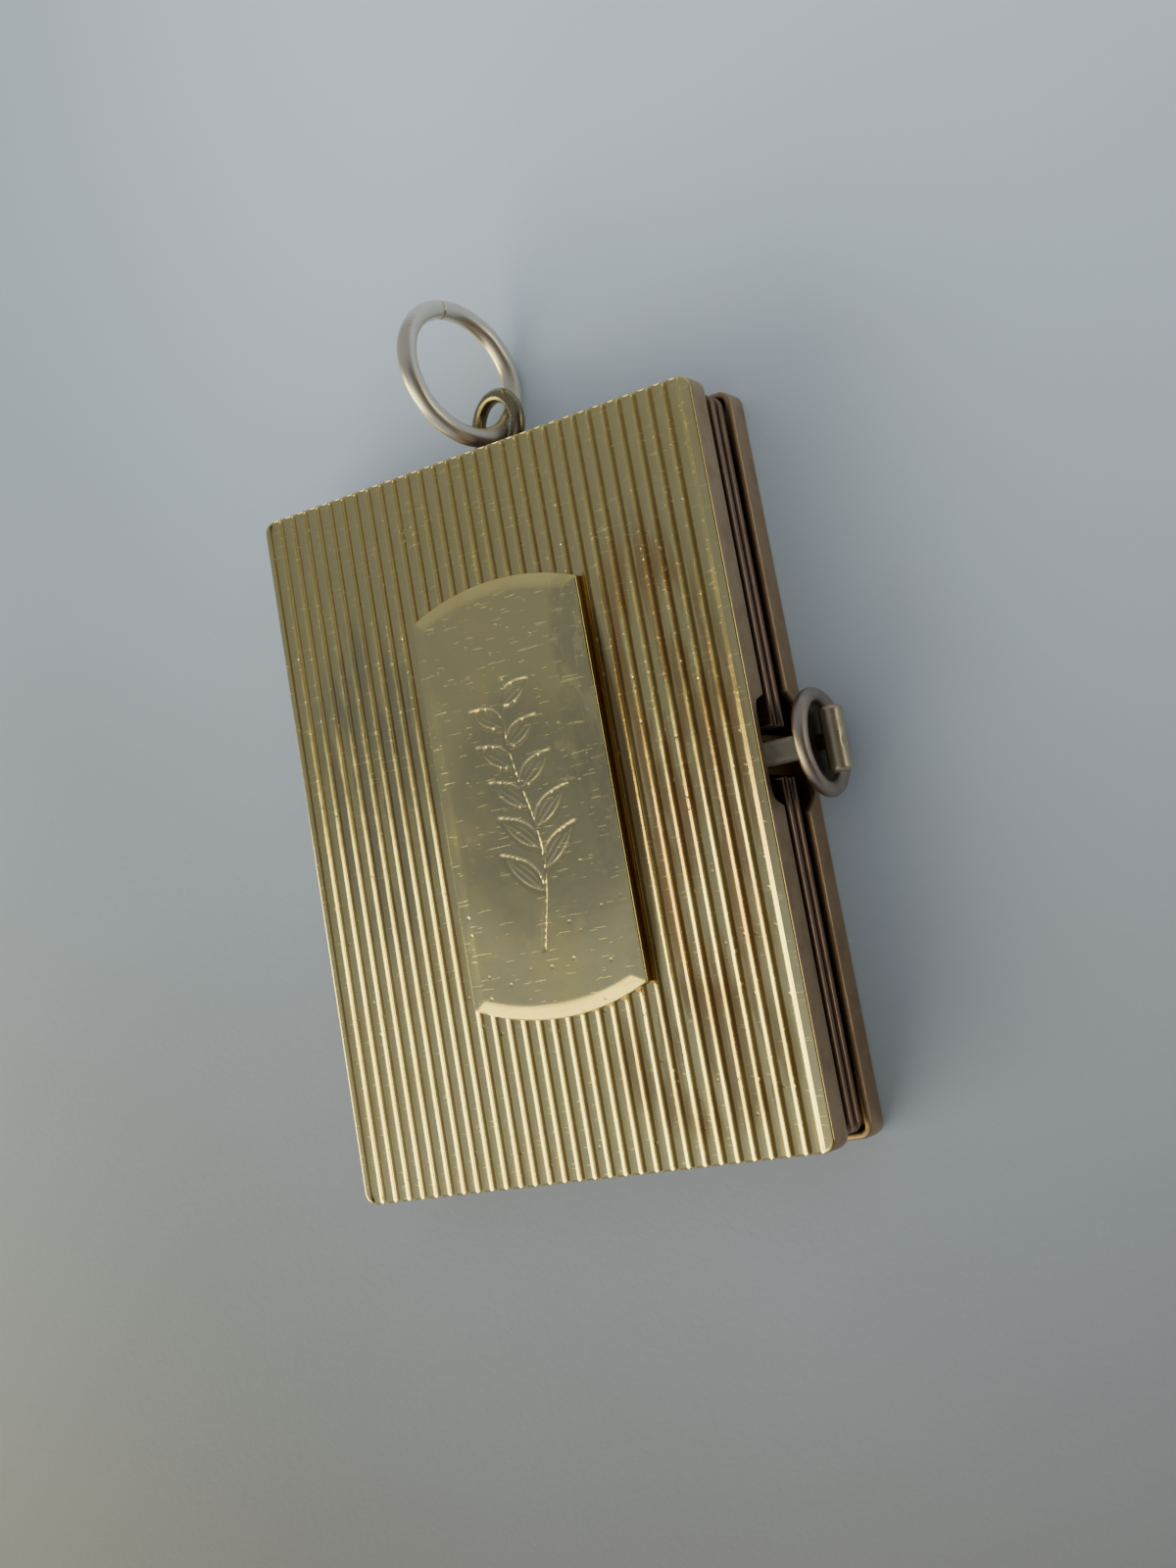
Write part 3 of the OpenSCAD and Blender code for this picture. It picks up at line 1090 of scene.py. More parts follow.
@dataclass
class Sprig:
    """Leafy sprig engraved on the plate."""

    foot: float = -5.4
    tip: float = 4.2
    sway: float = 0.36
    sway_turns: float = 2.1
    sway_start: float = -0.6
    pairs: int = 5
    first_leaf: float = 0.2
    leaf_run: float = 0.7
    leaf_length: float = 2.4
    leaf_width: float = 0.4
    shrink: float = 0.45
    lean: float = 58.0
    lean_less: float = 20.0
    taper: float = 0.35
    droop: float = 0.16
    swells: tuple[float, ...] = (-1.0, -0.35, 0.35, 1.0)
    half_width: float = 0.07
    depth: float = 0.035
    vein: float = 0.6
    rim: float = 0.85

    def _stem(self, t: np.ndarray) -> np.ndarray:
        """Runs along the stem.

        Args:
            t: Shares of its length.

        Returns:
            Its points at those shares.
        """
        y = self.foot + (self.tip - self.foot) * t
        x = self.sway * np.sin(t * self.sway_turns * math.pi + self.sway_start)
        return np.stack([x, y], axis=1)

    def strokes(self) -> list[Stroke]:
        """Draws the stem, and each leaf's two rims and two veins.

        Returns:
            All the engraved lines.
        """
        lines = [Stroke(self._stem(np.linspace(0, 1, 60)), self.half_width, self.depth)]
        t = np.linspace(0, 1, 18)
        for k in range(2 * self.pairs):
            hand = 1 if k % 2 else -1
            share = self.first_leaf + self.leaf_run * k / (2 * self.pairs - 1)
            root = self._stem(np.array([share]))[0]
            length = self.leaf_length * (1 - self.shrink * share)
            lean = math.radians(self.lean - self.lean_less * share)
            axis = np.array([hand * math.cos(lean), math.sin(lean)])
            across = np.array([-axis[1], axis[0]]) * hand
            for swell in self.swells:
                belly = self.leaf_width * swell * np.sin(t * math.pi) * (1 - self.taper * t)
                droop = self.droop * length * t ** 2
                line = root + np.outer(t * length, axis) + np.outer(belly - droop, across)
                fine = abs(swell) < 1
                lines.append(Stroke(line, self.half_width * (self.vein if fine else self.rim),
                                    self.depth * (self.vein if fine else 1.0)))
        return lines


@dataclass
class Cartouche:
    """Arched plate soldered on the front cover, with a soft border and an engraved sprig."""

    case: Case
    width: float = 7.1
    straight: float = 14.1
    rise: float = 0.75
    height: float = 0.25
    x: float = 0.35
    y: float = 0.3
    border: float = 0.5
    border_drop: float = 0.085
    border_bend: float = 1.4
    left_less: float = 0.65
    edge: float = 0.07
    sink: float = 0.15
    columns: int = 121
    rows: int = 281
    gather: float = 0.35
    dents: float = 0.012
    dent_waves: int = 6
    dent_pace: float = 1.6
    seed: int = 7
    sprig: Sprig = field(default_factory=Sprig)

    def _top(self, x: np.ndarray, half: float) -> np.ndarray:
        """Height of the arched end over the plate's middle, for places x across it."""
        arc = ((self.width / 2) ** 2 + self.rise ** 2) / (2 * self.rise)
        return half - (arc - np.sqrt(arc ** 2 - x ** 2))

    def _engraved(self, xy: np.ndarray) -> np.ndarray:
        """Depth of the engraving at points of the plate.

        Args:
            xy: The points, n by 2.

        Returns:
            The depth at each.
        """
        cut = np.zeros(len(xy))
        for stroke in self.sprig.strokes():
            a, b = stroke.points[:-1], stroke.points[1:]
            low = stroke.points.min(0) - stroke.half_width
            high = stroke.points.max(0) + stroke.half_width
            near = np.where(((xy > low) & (xy < high)).all(1))[0]
            if not len(near):
                continue
            p = xy[near][:, None, :]
            ab = (b - a)[None]
            share = np.clip(((p - a) * ab).sum(2) / np.maximum((ab ** 2).sum(2), 1e-9), 0, 1)
            away = np.linalg.norm(p - (a + share[..., None] * ab), axis=2).min(1)
            depth = stroke.depth * np.clip(1 - away / stroke.half_width, 0, 1)
            cut[near] = np.maximum(cut[near], depth)
        return cut

    def _grid(self) -> tuple[np.ndarray, np.ndarray, np.ndarray]:
        """Lays out the top face's points, closer together towards the arched ends.

        Returns:
            Their places across and up from the plate's middle, and how far inside its edge.
        """
        half_w = self.width / 2 - self.edge
        half_h = self.straight / 2 + self.rise - self.edge
        even = np.linspace(-1, 1, self.rows)
        v = np.sin(even * math.pi / 2) * self.gather + even * (1 - self.gather)
        across = np.linspace(-1, 1, self.columns) * half_w
        gx = np.repeat(across, self.rows).reshape(self.columns, self.rows)
        top = self._top(gx, half_h)
        gy = v[None, :] * top
        return gx, gy, np.minimum(half_w - np.abs(gx), top - np.abs(gy))

    def _heights(self, gx: np.ndarray, gy: np.ndarray, inside: np.ndarray,
                 cut: np.ndarray) -> np.ndarray:
        """Heights of the top face, with its soft border, its dents and its engraving.

        Args:
            gx: Places across the plate.
            gy: Places up the plate.
            inside: How far inside the plate's edge.
            cut: Depth of the engraving.

        Returns:
            The heights in the frame.
        """
        slope = np.clip(1 - inside / self.border, 0, 1)
        left = np.clip(1 - (self.width / 2 - self.edge + gx) / self.border, 0, 1)
        rng = np.random.default_rng(self.seed)
        paces = rng.uniform(-self.dent_pace, self.dent_pace, (self.dent_waves, 3))
        waves = sum(np.sin(gx * a + gy * b + c) for a, b, c in paces) / self.dent_waves
        drop = self.border_drop * slope ** self.border_bend * (1 - self.left_less * left)
        return self.case.thickness + self.height - cut + waves * self.dents - drop

    def build(self) -> bpy.types.Object:
        """Builds the plate as one closed shell with its engraving in the mesh.

        Returns:
            The piece.
        """
        gx, gy, inside = self._grid()
        cut = self._engraved(np.stack([gx.ravel(), gy.ravel()], axis=1)).reshape(gx.shape)
        gz = self._heights(gx, gy, inside, cut)
        bm = bmesh.new()
        recess = bm.verts.layers.float.new("recess")
        verts = []
        for px, py, pz, c in zip(gx.ravel(), gy.ravel(), gz.ravel(), cut.ravel()):
            vert = bm.verts.new((px + self.x, py + self.y, pz))
            vert[recess] = float(c / self.sprig.depth)
            verts.append(vert)
        for i in range(self.columns - 1):
            for j in range(self.rows - 1):
                k = i * self.rows + j
                ahead = k + self.rows
                bm.faces.new((verts[k], verts[ahead], verts[ahead + 1], verts[k + 1]))
        base = self.case.thickness
        level = base + self.height - self.border_drop
        steps = [Step(self.edge * math.sin(a), level - self.edge * (1 - math.cos(a)), 0)
                 for a in np.linspace(0, math.pi / 2, 5)[1:]]
        # The plate's side wall and underside take the dark inside gold: painted shade.
        steps += [Step(self.edge, base), Step(self.edge, base - self.sink)]
        wrap_sheet(bm, steps, cap_paint=1)
        return place_piece("cartouche_plate", to_mesh(bm, "plate"), (PLATE_GOLD, SHADED_INSIDE_GOLD),
                           Body.FRONT)


@dataclass(frozen=True)
class KnuckleRow:
    """One body's knuckles on the pin: the first one's place, the step, the count, the arm.

    The arm is given as its lowest and highest place from the pin's middle, and its reach.
    """

    name: str
    first: int
    step: int
    count: int
    arm: Triple
    body: Body
    slot: Slot
    finish: Gilding


@dataclass
class Hinge:
    """Spine pin and the knuckles of the covers and the leaves."""

    case: Case
    pin: float = 0.7
    barrel: float = 1.3
    length: float = 24.6
    gap: float = 0.08
    out: float = 0.45
    lap: float = 0.35
    edge: float = 0.05
    knuckles: int = 9
    leaf_lap: float = 0.6
    front_tab: tuple[float, float] = (-0.08, 0.26)
    rear_tab: tuple[float, float] = (-0.66, -0.32)
    clear: float = 0.02
    pin_round: float = 0.1

    @property
    def x(self) -> float:
        """Place of the pin across the book."""
        return -self.case.fore_x - self.out

    @property
    def knuckle(self) -> float:
        """Length of one knuckle."""
        return (self.length - (self.knuckles - 1) * self.gap) / self.knuckles

    def _block(self, bm: bmesh.types.BMesh, low: Sequence[float], high: Sequence[float]) -> None:
        """Adds a block with bevelled edges.

        Args:
            bm: The mesh that takes it.
            low: Its lowest corner.
            high: Its highest corner.
        """
        made = bmesh.ops.create_cube(bm, size=1.0)["verts"]
        for v in made:
            v.co = Vector([lo + (c + 0.5) * (hi - lo) for c, lo, hi in zip(v.co, low, high)])
        edges = list({e for v in made for e in v.link_edges})
        bmesh.ops.bevel(bm, geom=edges, offset=self.edge * 0.8, segments=2, profile=0.5,
                        affect="EDGES")

    def _one(self, low_z: float, high_z: float, reach: float) -> bpy.types.Mesh:
        """One knuckle at the row's start, with its arm.

        Args:
            low_z: Lowest height of the arm.
            high_z: Highest height of the arm.
            reach: How far the arm runs from the pin.

        Returns:
            The mesh in metres.
        """
        bm = bmesh.new()
        end, radius = self.knuckle, self.barrel / 2
        profile = [(0.0, self.pin / 2 + self.clear)]
        profile += rounded_end(0.0, radius, self.edge, -1)
        profile += rounded_end(end, radius, self.edge, 1)
        profile += [(end, self.pin / 2 + self.clear)]
        add_loops(bm, turned(profile, "Y", (self.x, 0.0, self.case.mid_z), 40), ring=True)
        self._block(bm, (self.x, self.clear, low_z), (self.x + reach, end - self.clear, high_z))
        return to_mesh(bm, "knuckle")

    def build(self, tree: bpy.types.NodeTree) -> None:
        """Builds the pin and the four rows of knuckles.

        Args:
            tree: The row's tree.
        """
        case = self.case
        mid, rim = case.mid_z, case.mid_z - case.tray_depth
        reach = self.out + case.wall
        leaf_reach = reach + self.leaf_lap
        rows = (
            # The cover knuckles take the darker wall gold: painted shade.
            KnuckleRow("back_knuckles", 0, 4, 3, (-rim - self.lap, 0.0, reach),
                       Body.BACK, Slot.PLAIN, SHADED_WALL_GOLD),
            KnuckleRow("front_knuckles", 1, 6, 2, (0.0, rim + self.lap, reach),
                       Body.FRONT, Slot.RIBBED, SHADED_WALL_GOLD),
            KnuckleRow("front_leaf_knuckles", 2, 4, 2, (*self.front_tab, leaf_reach),
                       Body.LEAF_FRONT, Slot.LEAF, LEAF_GOLD),
            KnuckleRow("rear_leaf_knuckles", 3, 2, 2, (*self.rear_tab, leaf_reach),
                       Body.LEAF_REAR, Slot.LEAF, LEAF_GOLD))
        pace, half = self.knuckle + self.gap, self.length / 2
        for row in rows:
            low, high, arm_reach = row.arm
            mesh = grow(tree, {"Count": row.count, "Start": (row.first * pace - half) * MM,
                               "Step": row.step * pace * MM, "Material": row.finish.material()},
                        self._one(mid + low, mid + high, arm_reach))
            place_piece(row.name, mesh, (row.finish,), row.body)
        profile = [(-half, self.clear), *rounded_end(-half, self.pin / 2, self.pin_round, -1),
                   *rounded_end(half, self.pin / 2, self.pin_round, 1), (half, self.clear)]
        bm = bmesh.new()
        add_loops(bm, turned(profile, "Y", (self.x, 0.0, mid), 32))
        place_piece("spine_pin", to_mesh(bm, "pin"), (PIN_METAL,), Body.BACK,
                    ("hinge_pin",))


@dataclass
class Leaf:
    """Picture leaf: a thin frame with a shallow well on each side and a slot for the catch."""

    case: Case
    upper: bool
    thickness: float = 0.34
    split: float = 0.24
    low: float = 0.2
    inset: float = 0.17
    end: float = 0.3
    root: float = 0.25
    frame: float = 1.9
    well: float = 0.08
    slot_x: float = 7.78
    slot_width: float = 1.7
    slot_shoulder: float = 0.3
    slot_round: float = 0.2
    slot_flare: float = 0.02
    edge: float = 0.1
    well_round: float = 0.03
    corner_steps: int = 8

    def _outline(self, grow_by: float, slotted: bool) -> np.ndarray:
        """Outline of the leaf, or of its well, with as many points.

        Args:
            grow_by: How far out of the leaf's own edge.
            slotted: Whether the catch's slot is cut in.

        Returns:
            The points, n by 2, against the clock.
        """
        case = self.case
        x0 = -case.fore_x + case.wall + self.root - grow_by
        x1 = case.fore_x - self.inset + grow_by
        half = case.height / 2 - self.end + grow_by
        radius = max(case.corner - self.inset / 2 + min(grow_by, 0.0), 0.3)
        points: list[tuple[float, float]] = []

        def corner(cx: float, cy: float, start: float) -> None:
            """Adds a rounded corner from its centre and its first angle."""
            for k in range(self.corner_steps + 1):
                a = math.radians(start + 90 * k / self.corner_steps)
                points.append((cx + radius * math.cos(a), cy + radius * math.sin(a)))

        corner(x1 - radius, -half + radius, -90)
        low, high = case.catch_y - self.slot_width / 2, case.catch_y + self.slot_width / 2
        x2, bend = self.slot_x, self.slot_round
        shoulder, flare = self.slot_shoulder, self.slot_flare
        slot = [(x1, low - shoulder), (x1, low - flare), (x2 + bend, low), (x2, low + bend),
                (x2, high - bend), (x2 + bend, high), (x1, high + flare), (x1, high + shoulder)]
        straight = [(x1, float(y)) for y in np.linspace(low - shoulder, high + shoulder, len(slot))]
        points += slot if slotted else straight
        corner(x1 - radius, half - radius, 0)
        corner(x0 + radius, half - radius, 90)
        corner(x0 + radius, -half + radius, 180)
        return np.array(points)

    def build(self) -> bpy.types.Object:
        """Builds the leaf as one closed shell.

        Returns:
            The piece.
        """
        mid = self.case.mid_z - self.low
        low = mid + self.split / 2 if self.upper else mid - self.split / 2 - self.thickness
        high = low + self.thickness
        outer = self._outline(0.0, True)
        well = self._outline(-self.frame, False)
        e, b = self.edge, self.well_round
        rounding = quarter((0.0, 31.5, 63.0, 90.0))

        def at(xy: np.ndarray, z: float) -> np.ndarray:
            """The points at a height."""
            return np.column_stack([xy, np.full(len(xy), z)])

        loops = [at(offset_loop(well, -b), high - self.well), at(well, high - self.well + b),
                 at(well, high - b), at(offset_loop(well, b), high)]
        loops += [at(offset_loop(outer, -e * s), high - e * c) for c, s in rounding]
        loops += [at(offset_loop(outer, -e * c), low + e * s) for c, s in rounding]
        loops += [at(offset_loop(well, b), low), at(well, low + b),
                  at(well, low + self.well - b), at(offset_loop(well, -b), low + self.well)]
        bm = bmesh.new()
        add_loops(bm, loops)
        name = "front_leaf_frame" if self.upper else "rear_leaf_frame"
        return place_piece(name, to_mesh(bm, name), (LEAF_GOLD,),
                           Body.LEAF_FRONT if self.upper else Body.LEAF_REAR,
                           ("front_leaf",) if self.upper else ("rear_leaf",), sharp=50.0)


@dataclass
class TurnCatch:
    """Post with a riveted head, thumb ring with its web, and bar, soldered into one."""

    case: Case
    post: float = 0.86
    head: float = 1.2
    head_x: float = 7.93
    head_thick: float = 0.3
    ring: float = 3.74
    wire: float = 0.52
    out: float = 1.3
    web: float = 0.17
    bar: float = 0.8
    bar_length: float = 2.2
    bar_bevel: float = 0.08
    bar_out: float = 0.5
    lug_rim: float = 0.23
    lug_x: float = 8.33
    lug_thick: float = 0.4
    lug_round: float = 0.03
    clear: float = 0.04
    neck: float = 0.52
    pole: float = 0.03
    dimple_at: tuple[float, float] = (-0.12, 0.08)
    dimple_depth: float = 0.07
    dimple_reach: float = 0.13

    @property
    def ring_x(self) -> float:
        """Place of the thumb ring out along X."""
        return self.case.fore_x + self.out

    @property
    def bar_x(self) -> float:
        """Place of the bar's axis out along X."""
        return self.ring_x + self.bar_out

    @property
    def centre(self) -> Triple:
        """The post's axis, where X is 0."""
        return 0.0, self.case.catch_y, self.case.mid_z

    def _post(self, bm: bmesh.types.BMesh) -> None:
        """Adds the riveted head, the post with its flare, and the neck that carries the bar.

        Args:
            bm: The mesh that takes them.
        """
        head, post, ring_x, bar_x = self.head / 2, self.post / 2, self.ring_x, self.bar_x
        inner, outer = self.head_x, self.head_x + self.head_thick
        rivet = [(inner, self.pole), (inner, head - 0.14), (inner + 0.05, head - 0.04),
                 (inner + 0.12, head), (outer - 0.03, head), (outer, head - 0.03),
                 (outer, post + 0.02), (outer, post)]
        flare = [(ring_x - 0.5, post), (ring_x - 0.4, post + 0.015), (ring_x - 0.31, post + 0.07),
                 (ring_x - 0.25, post + 0.18), (ring_x - 0.22, post + 0.3),
                 (ring_x - 0.1, self.pole)]
        add_loops(bm, turned(rivet + flare, "X", self.centre, 48))
        neck = [(ring_x - 0.15, self.pole), (ring_x - 0.15, self.neck / 2),
                (bar_x - 0.1, self.neck / 2), (bar_x, self.pole)]
        # The neck takes the near-black finish: painted shade inside the ring.
        add_loops(bm, turned(neck, "X", self.centre, 24), paint=3)

    def _thumb_ring(self, bm: bmesh.types.BMesh) -> None:
        """Adds the ring of slightly flattened wire and the web inside it.

        Args:
            bm: The mesh that takes them.
        """
        radius = (self.ring - self.wire) / 2
        upright = (Matrix.Translation(Vector((self.ring_x, *self.centre[1:])))
                   @ Matrix.Rotation(math.pi / 2, 4, "Y"))

        def worn(a: float, b: float) -> float:
            """Factor of the radius of slightly flattened and uneven wire."""
            return 1.0 + 0.03 * math.sin(3 * a + 0.4) + 0.02 * math.cos(2 * b + a)

        loops = wire_loops(radius, self.wire, 120, 24, worn)
        add_loops(bm, moved(loops, upright), ring=True, paint=1)
        low = self.ring_x - self.wire / 4 - self.web / 2
        high = low + self.web
        disc = [(low, self.pole), (low, radius), (high, radius), (high, self.pole)]
        # The web takes the near-black finish: painted shade inside the ring.
        add_loops(bm, turned(disc, "X", self.centre, 64), paint=3)

    def _bar(self, bm: bmesh.types.BMesh) -> None:
        """Adds the bar with its bevelled ends and the dimple in its outer side.

        Args:
            bm: The mesh that takes it.
        """
        half, radius, bevel = self.bar_length / 2, self.bar / 2, self.bar_bevel
        end = [(half, self.pole), (half, radius - bevel - 0.02), (half - 0.01, radius - bevel),
               (half - bevel, radius - 0.01), (half - bevel - 0.03, radius)]
        profile = [(-place, size) for place, size in end]
        profile += [(p, radius) for p in np.linspace(-half + 0.2, half - 0.2, 24)]
        profile += end[::-1]
        loops = turned(profile, "Y", (self.bar_x, *self.centre[1:]), 48)
        dy, dz = self.dimple_at
        dimple = np.array((self.bar_x + radius, self.centre[1] + dy, self.centre[2] + dz))
        for loop in loops:
            away = np.linalg.norm(loop - dimple, axis=1)
            loop[:, 0] -= self.dimple_depth * np.exp(-(away / self.dimple_reach) ** 2)
        add_loops(bm, loops, paint=2)

    def build(self) -> None:
        """Builds the catch and the lug that it turns in."""
        bm = bmesh.new()
        self._post(bm)
        self._thumb_ring(bm)
        self._bar(bm)
        place_piece("turn_catch_body", to_mesh(bm, "catch"),
                    (POST_SHEEN_METAL, THUMB_METAL, BAR_METAL, SHADED_WEB_METAL), Body.CATCH,
                    ("turn_catch",))
        self._lug()

    def _lug(self) -> None:
        """Builds the lug: an eye round the post on a leg from the back cover."""
        bm = bmesh.new()
        bore, soft = self.post / 2 + self.clear, self.lug_round
        outer = bore + self.lug_rim
        x0, x1 = self.lug_x, self.lug_x + self.lug_thick
        profile = [(x0, bore), (x0, outer - soft), (x0 + soft, outer), (x1 - soft, outer),
                   (x1, outer - soft), (x1, bore)]
        add_loops(bm, turned(profile, "X", self.centre, 48), ring=True)
        _, y, z = self.centre
        low, high, half = self.case.face / 2, z - bore - 0.02, outer * 0.98
        leg = [(-half, low), (half, low), (half, z), (bore + 0.1, z - 0.15), (0.3, high),
               (-0.3, high), (-bore - 0.1, z - 0.15), (-half, z)]
        add_loops(bm, [np.array([(x, y + across, up) for across, up in leg])
                       for x in (x0 + 0.01, x1 - 0.01)])
        # The lug takes the dark inside gold: painted shade.
        place_piece("catch_lug", to_mesh(bm, "lug"), (SHADED_INSIDE_GOLD,), Body.BACK)


@dataclass
class Eye:
    """Wire eye on a short stem, soldered to the back cover's top wall."""

    case: Case
    radius: float = 1.2
    wire: float = 0.56
    x: float = 0.0
    out: float = 1.5
    z: float = 1.26
    tilt: float = 19.0
    stem: float = 0.6
    stem_z: float = 0.84

    @property
    def y(self) -> float:
        """Place of the eye's middle up the book."""
        return self.case.height / 2 + self.out

    def placed(self) -> Matrix:
        """Matrix from a flat ring round Z to the eye."""
        return (Matrix.Translation(Vector((self.x, self.y, self.z)))
                @ Matrix.Rotation(-math.radians(self.tilt), 4, "Y"))

    def build(self) -> bpy.types.Object:
        """Builds the eye, its stem and the solder at both ends of the stem.

        Returns:
            The piece.
        """
        bm = bmesh.new()

        def worn(a: float, b: float) -> float:
            """Factor of the radius of slightly uneven wire."""
            return 1.0 + 0.03 * math.sin(2 * a) + 0.02 * math.cos(3 * b)

        loops = wire_loops(self.radius, self.wire, 96, 20, worn)
        add_loops(bm, moved(loops, self.placed()), ring=True)
        wall = self.case.height / 2
        start, end, r = wall - self.case.wall / 2, self.y - self.radius, self.stem / 2
        profile = [(start, 0.02), (start, r + 0.09), (wall, r + 0.09), (wall + 0.03, r + 0.06),
                   (wall + 0.08, r + 0.03), (wall + 0.16, r + 0.01), (wall + 0.3, r),
                   (end - 0.2, r), (end - 0.12, r + 0.02), (end, r - 0.02), (end + 0.12, r - 0.12),
                   (end + 0.2, 0.02)]
        add_loops(bm, turned(profile, "Y", (self.x, 0.0, self.stem_z), 40))
        return place_piece("eye_loop", to_mesh(bm, "eye"), (EYE_METAL,), Body.BACK,
                           sharp=60.0)


@dataclass
class JumpRing:
    """Loose ring of wire through the eye, with its seam and the file's marks."""

    eye: Eye
    radius: float = 2.6
    wire: float = 0.74
    gap: float = 0.14
    lean: float = 77.5
    turn: float = 5.6
    passing: float = -52.4
    seat_turn: float = 110.0
    seam_at: float = 150.0
    seam_depth: float = 0.1
    seam_reach: float = 0.8

    def _placed(self) -> Matrix:
        """Places the ring where it stands in the eye.

        Returns:
            The matrix from a flat ring round Z to there.
        """
        eye = self.eye
        seat = eye.radius - (eye.wire + self.wire) / 2 - self.gap
        turn = math.radians(self.seat_turn)
        spot = eye.placed() @ Vector((seat * math.sin(turn), seat * math.cos(turn), 0.0))
        return (Matrix.Translation(spot)
                @ Matrix.Rotation(math.radians(self.turn), 4, "Z")
                @ Matrix.Rotation(math.radians(self.lean), 4, "Y")
                @ Matrix.Rotation(math.radians(self.passing), 4, "Z")
                @ Matrix.Translation(Vector((-self.radius, 0.0, 0.0))))

    def _worn(self, a: float, b: float) -> float:
        """Factor of the wire's radius: lumps, file marks and the closed seam.

        Args:
            a: Angle round the ring.
            b: Angle round the wire.

        Returns:
            The factor.
        """
        lumps = 0.012 * math.sin(5 * a + 1.0) + 0.01 * math.sin(11 * a + 2 * b)
        filed = 0.012 * math.sin(90 * a) * max(0.0, math.cos(2 * a - 0.6)) ** 4
        away = (math.degrees(a) - self.seam_at + 180) % 360 - 180
        seam = self.seam_depth * math.exp(-(away / self.seam_reach) ** 2)
        return 0.985 + lumps + filed - seam

    def build(self) -> bpy.types.Object:
        """Builds the ring.

        Returns:
            The piece.
        """
        bm = bmesh.new()
        loops = wire_loops(self.radius, self.wire, 420, 28, self._worn)
        add_loops(bm, moved(loops, self._placed()), ring=True)
        return place_piece("jump_ring_wire", to_mesh(bm, "ring"), (RING_METAL,), Body.BACK,
                           ("jump_ring",))


# Stage


@dataclass(frozen=True)
class Panel:
    """A soft light: an upright lit rectangle that faces the locket."""

    name: str
    place: Triple
    size: tuple[float, float]
    power: float
    colour: Colour = (1.0, 1.0, 1.0)

    def build(self) -> bpy.types.Object:
        """Adds the light, whose sizes are in metres.

        Returns:
            The light.
        """
        lamp = bpy.data.lights.new(self.name, "AREA")
        lamp.shape = "RECTANGLE"
        lamp.size, lamp.size_y = self.size
        lamp.energy = self.power
        lamp.color = self.colour
        light = bpy.data.objects.new(self.name, lamp)
        light.location = self.place
        light.rotation_mode = "QUATERNION"
        level = Vector((-self.place[0], -self.place[1], 0.0))
        light.rotation_quaternion = level.to_track_quat("-Z", "Y")
        light.visible_camera = False
        bpy.context.scene.collection.objects.link(light)
        return light


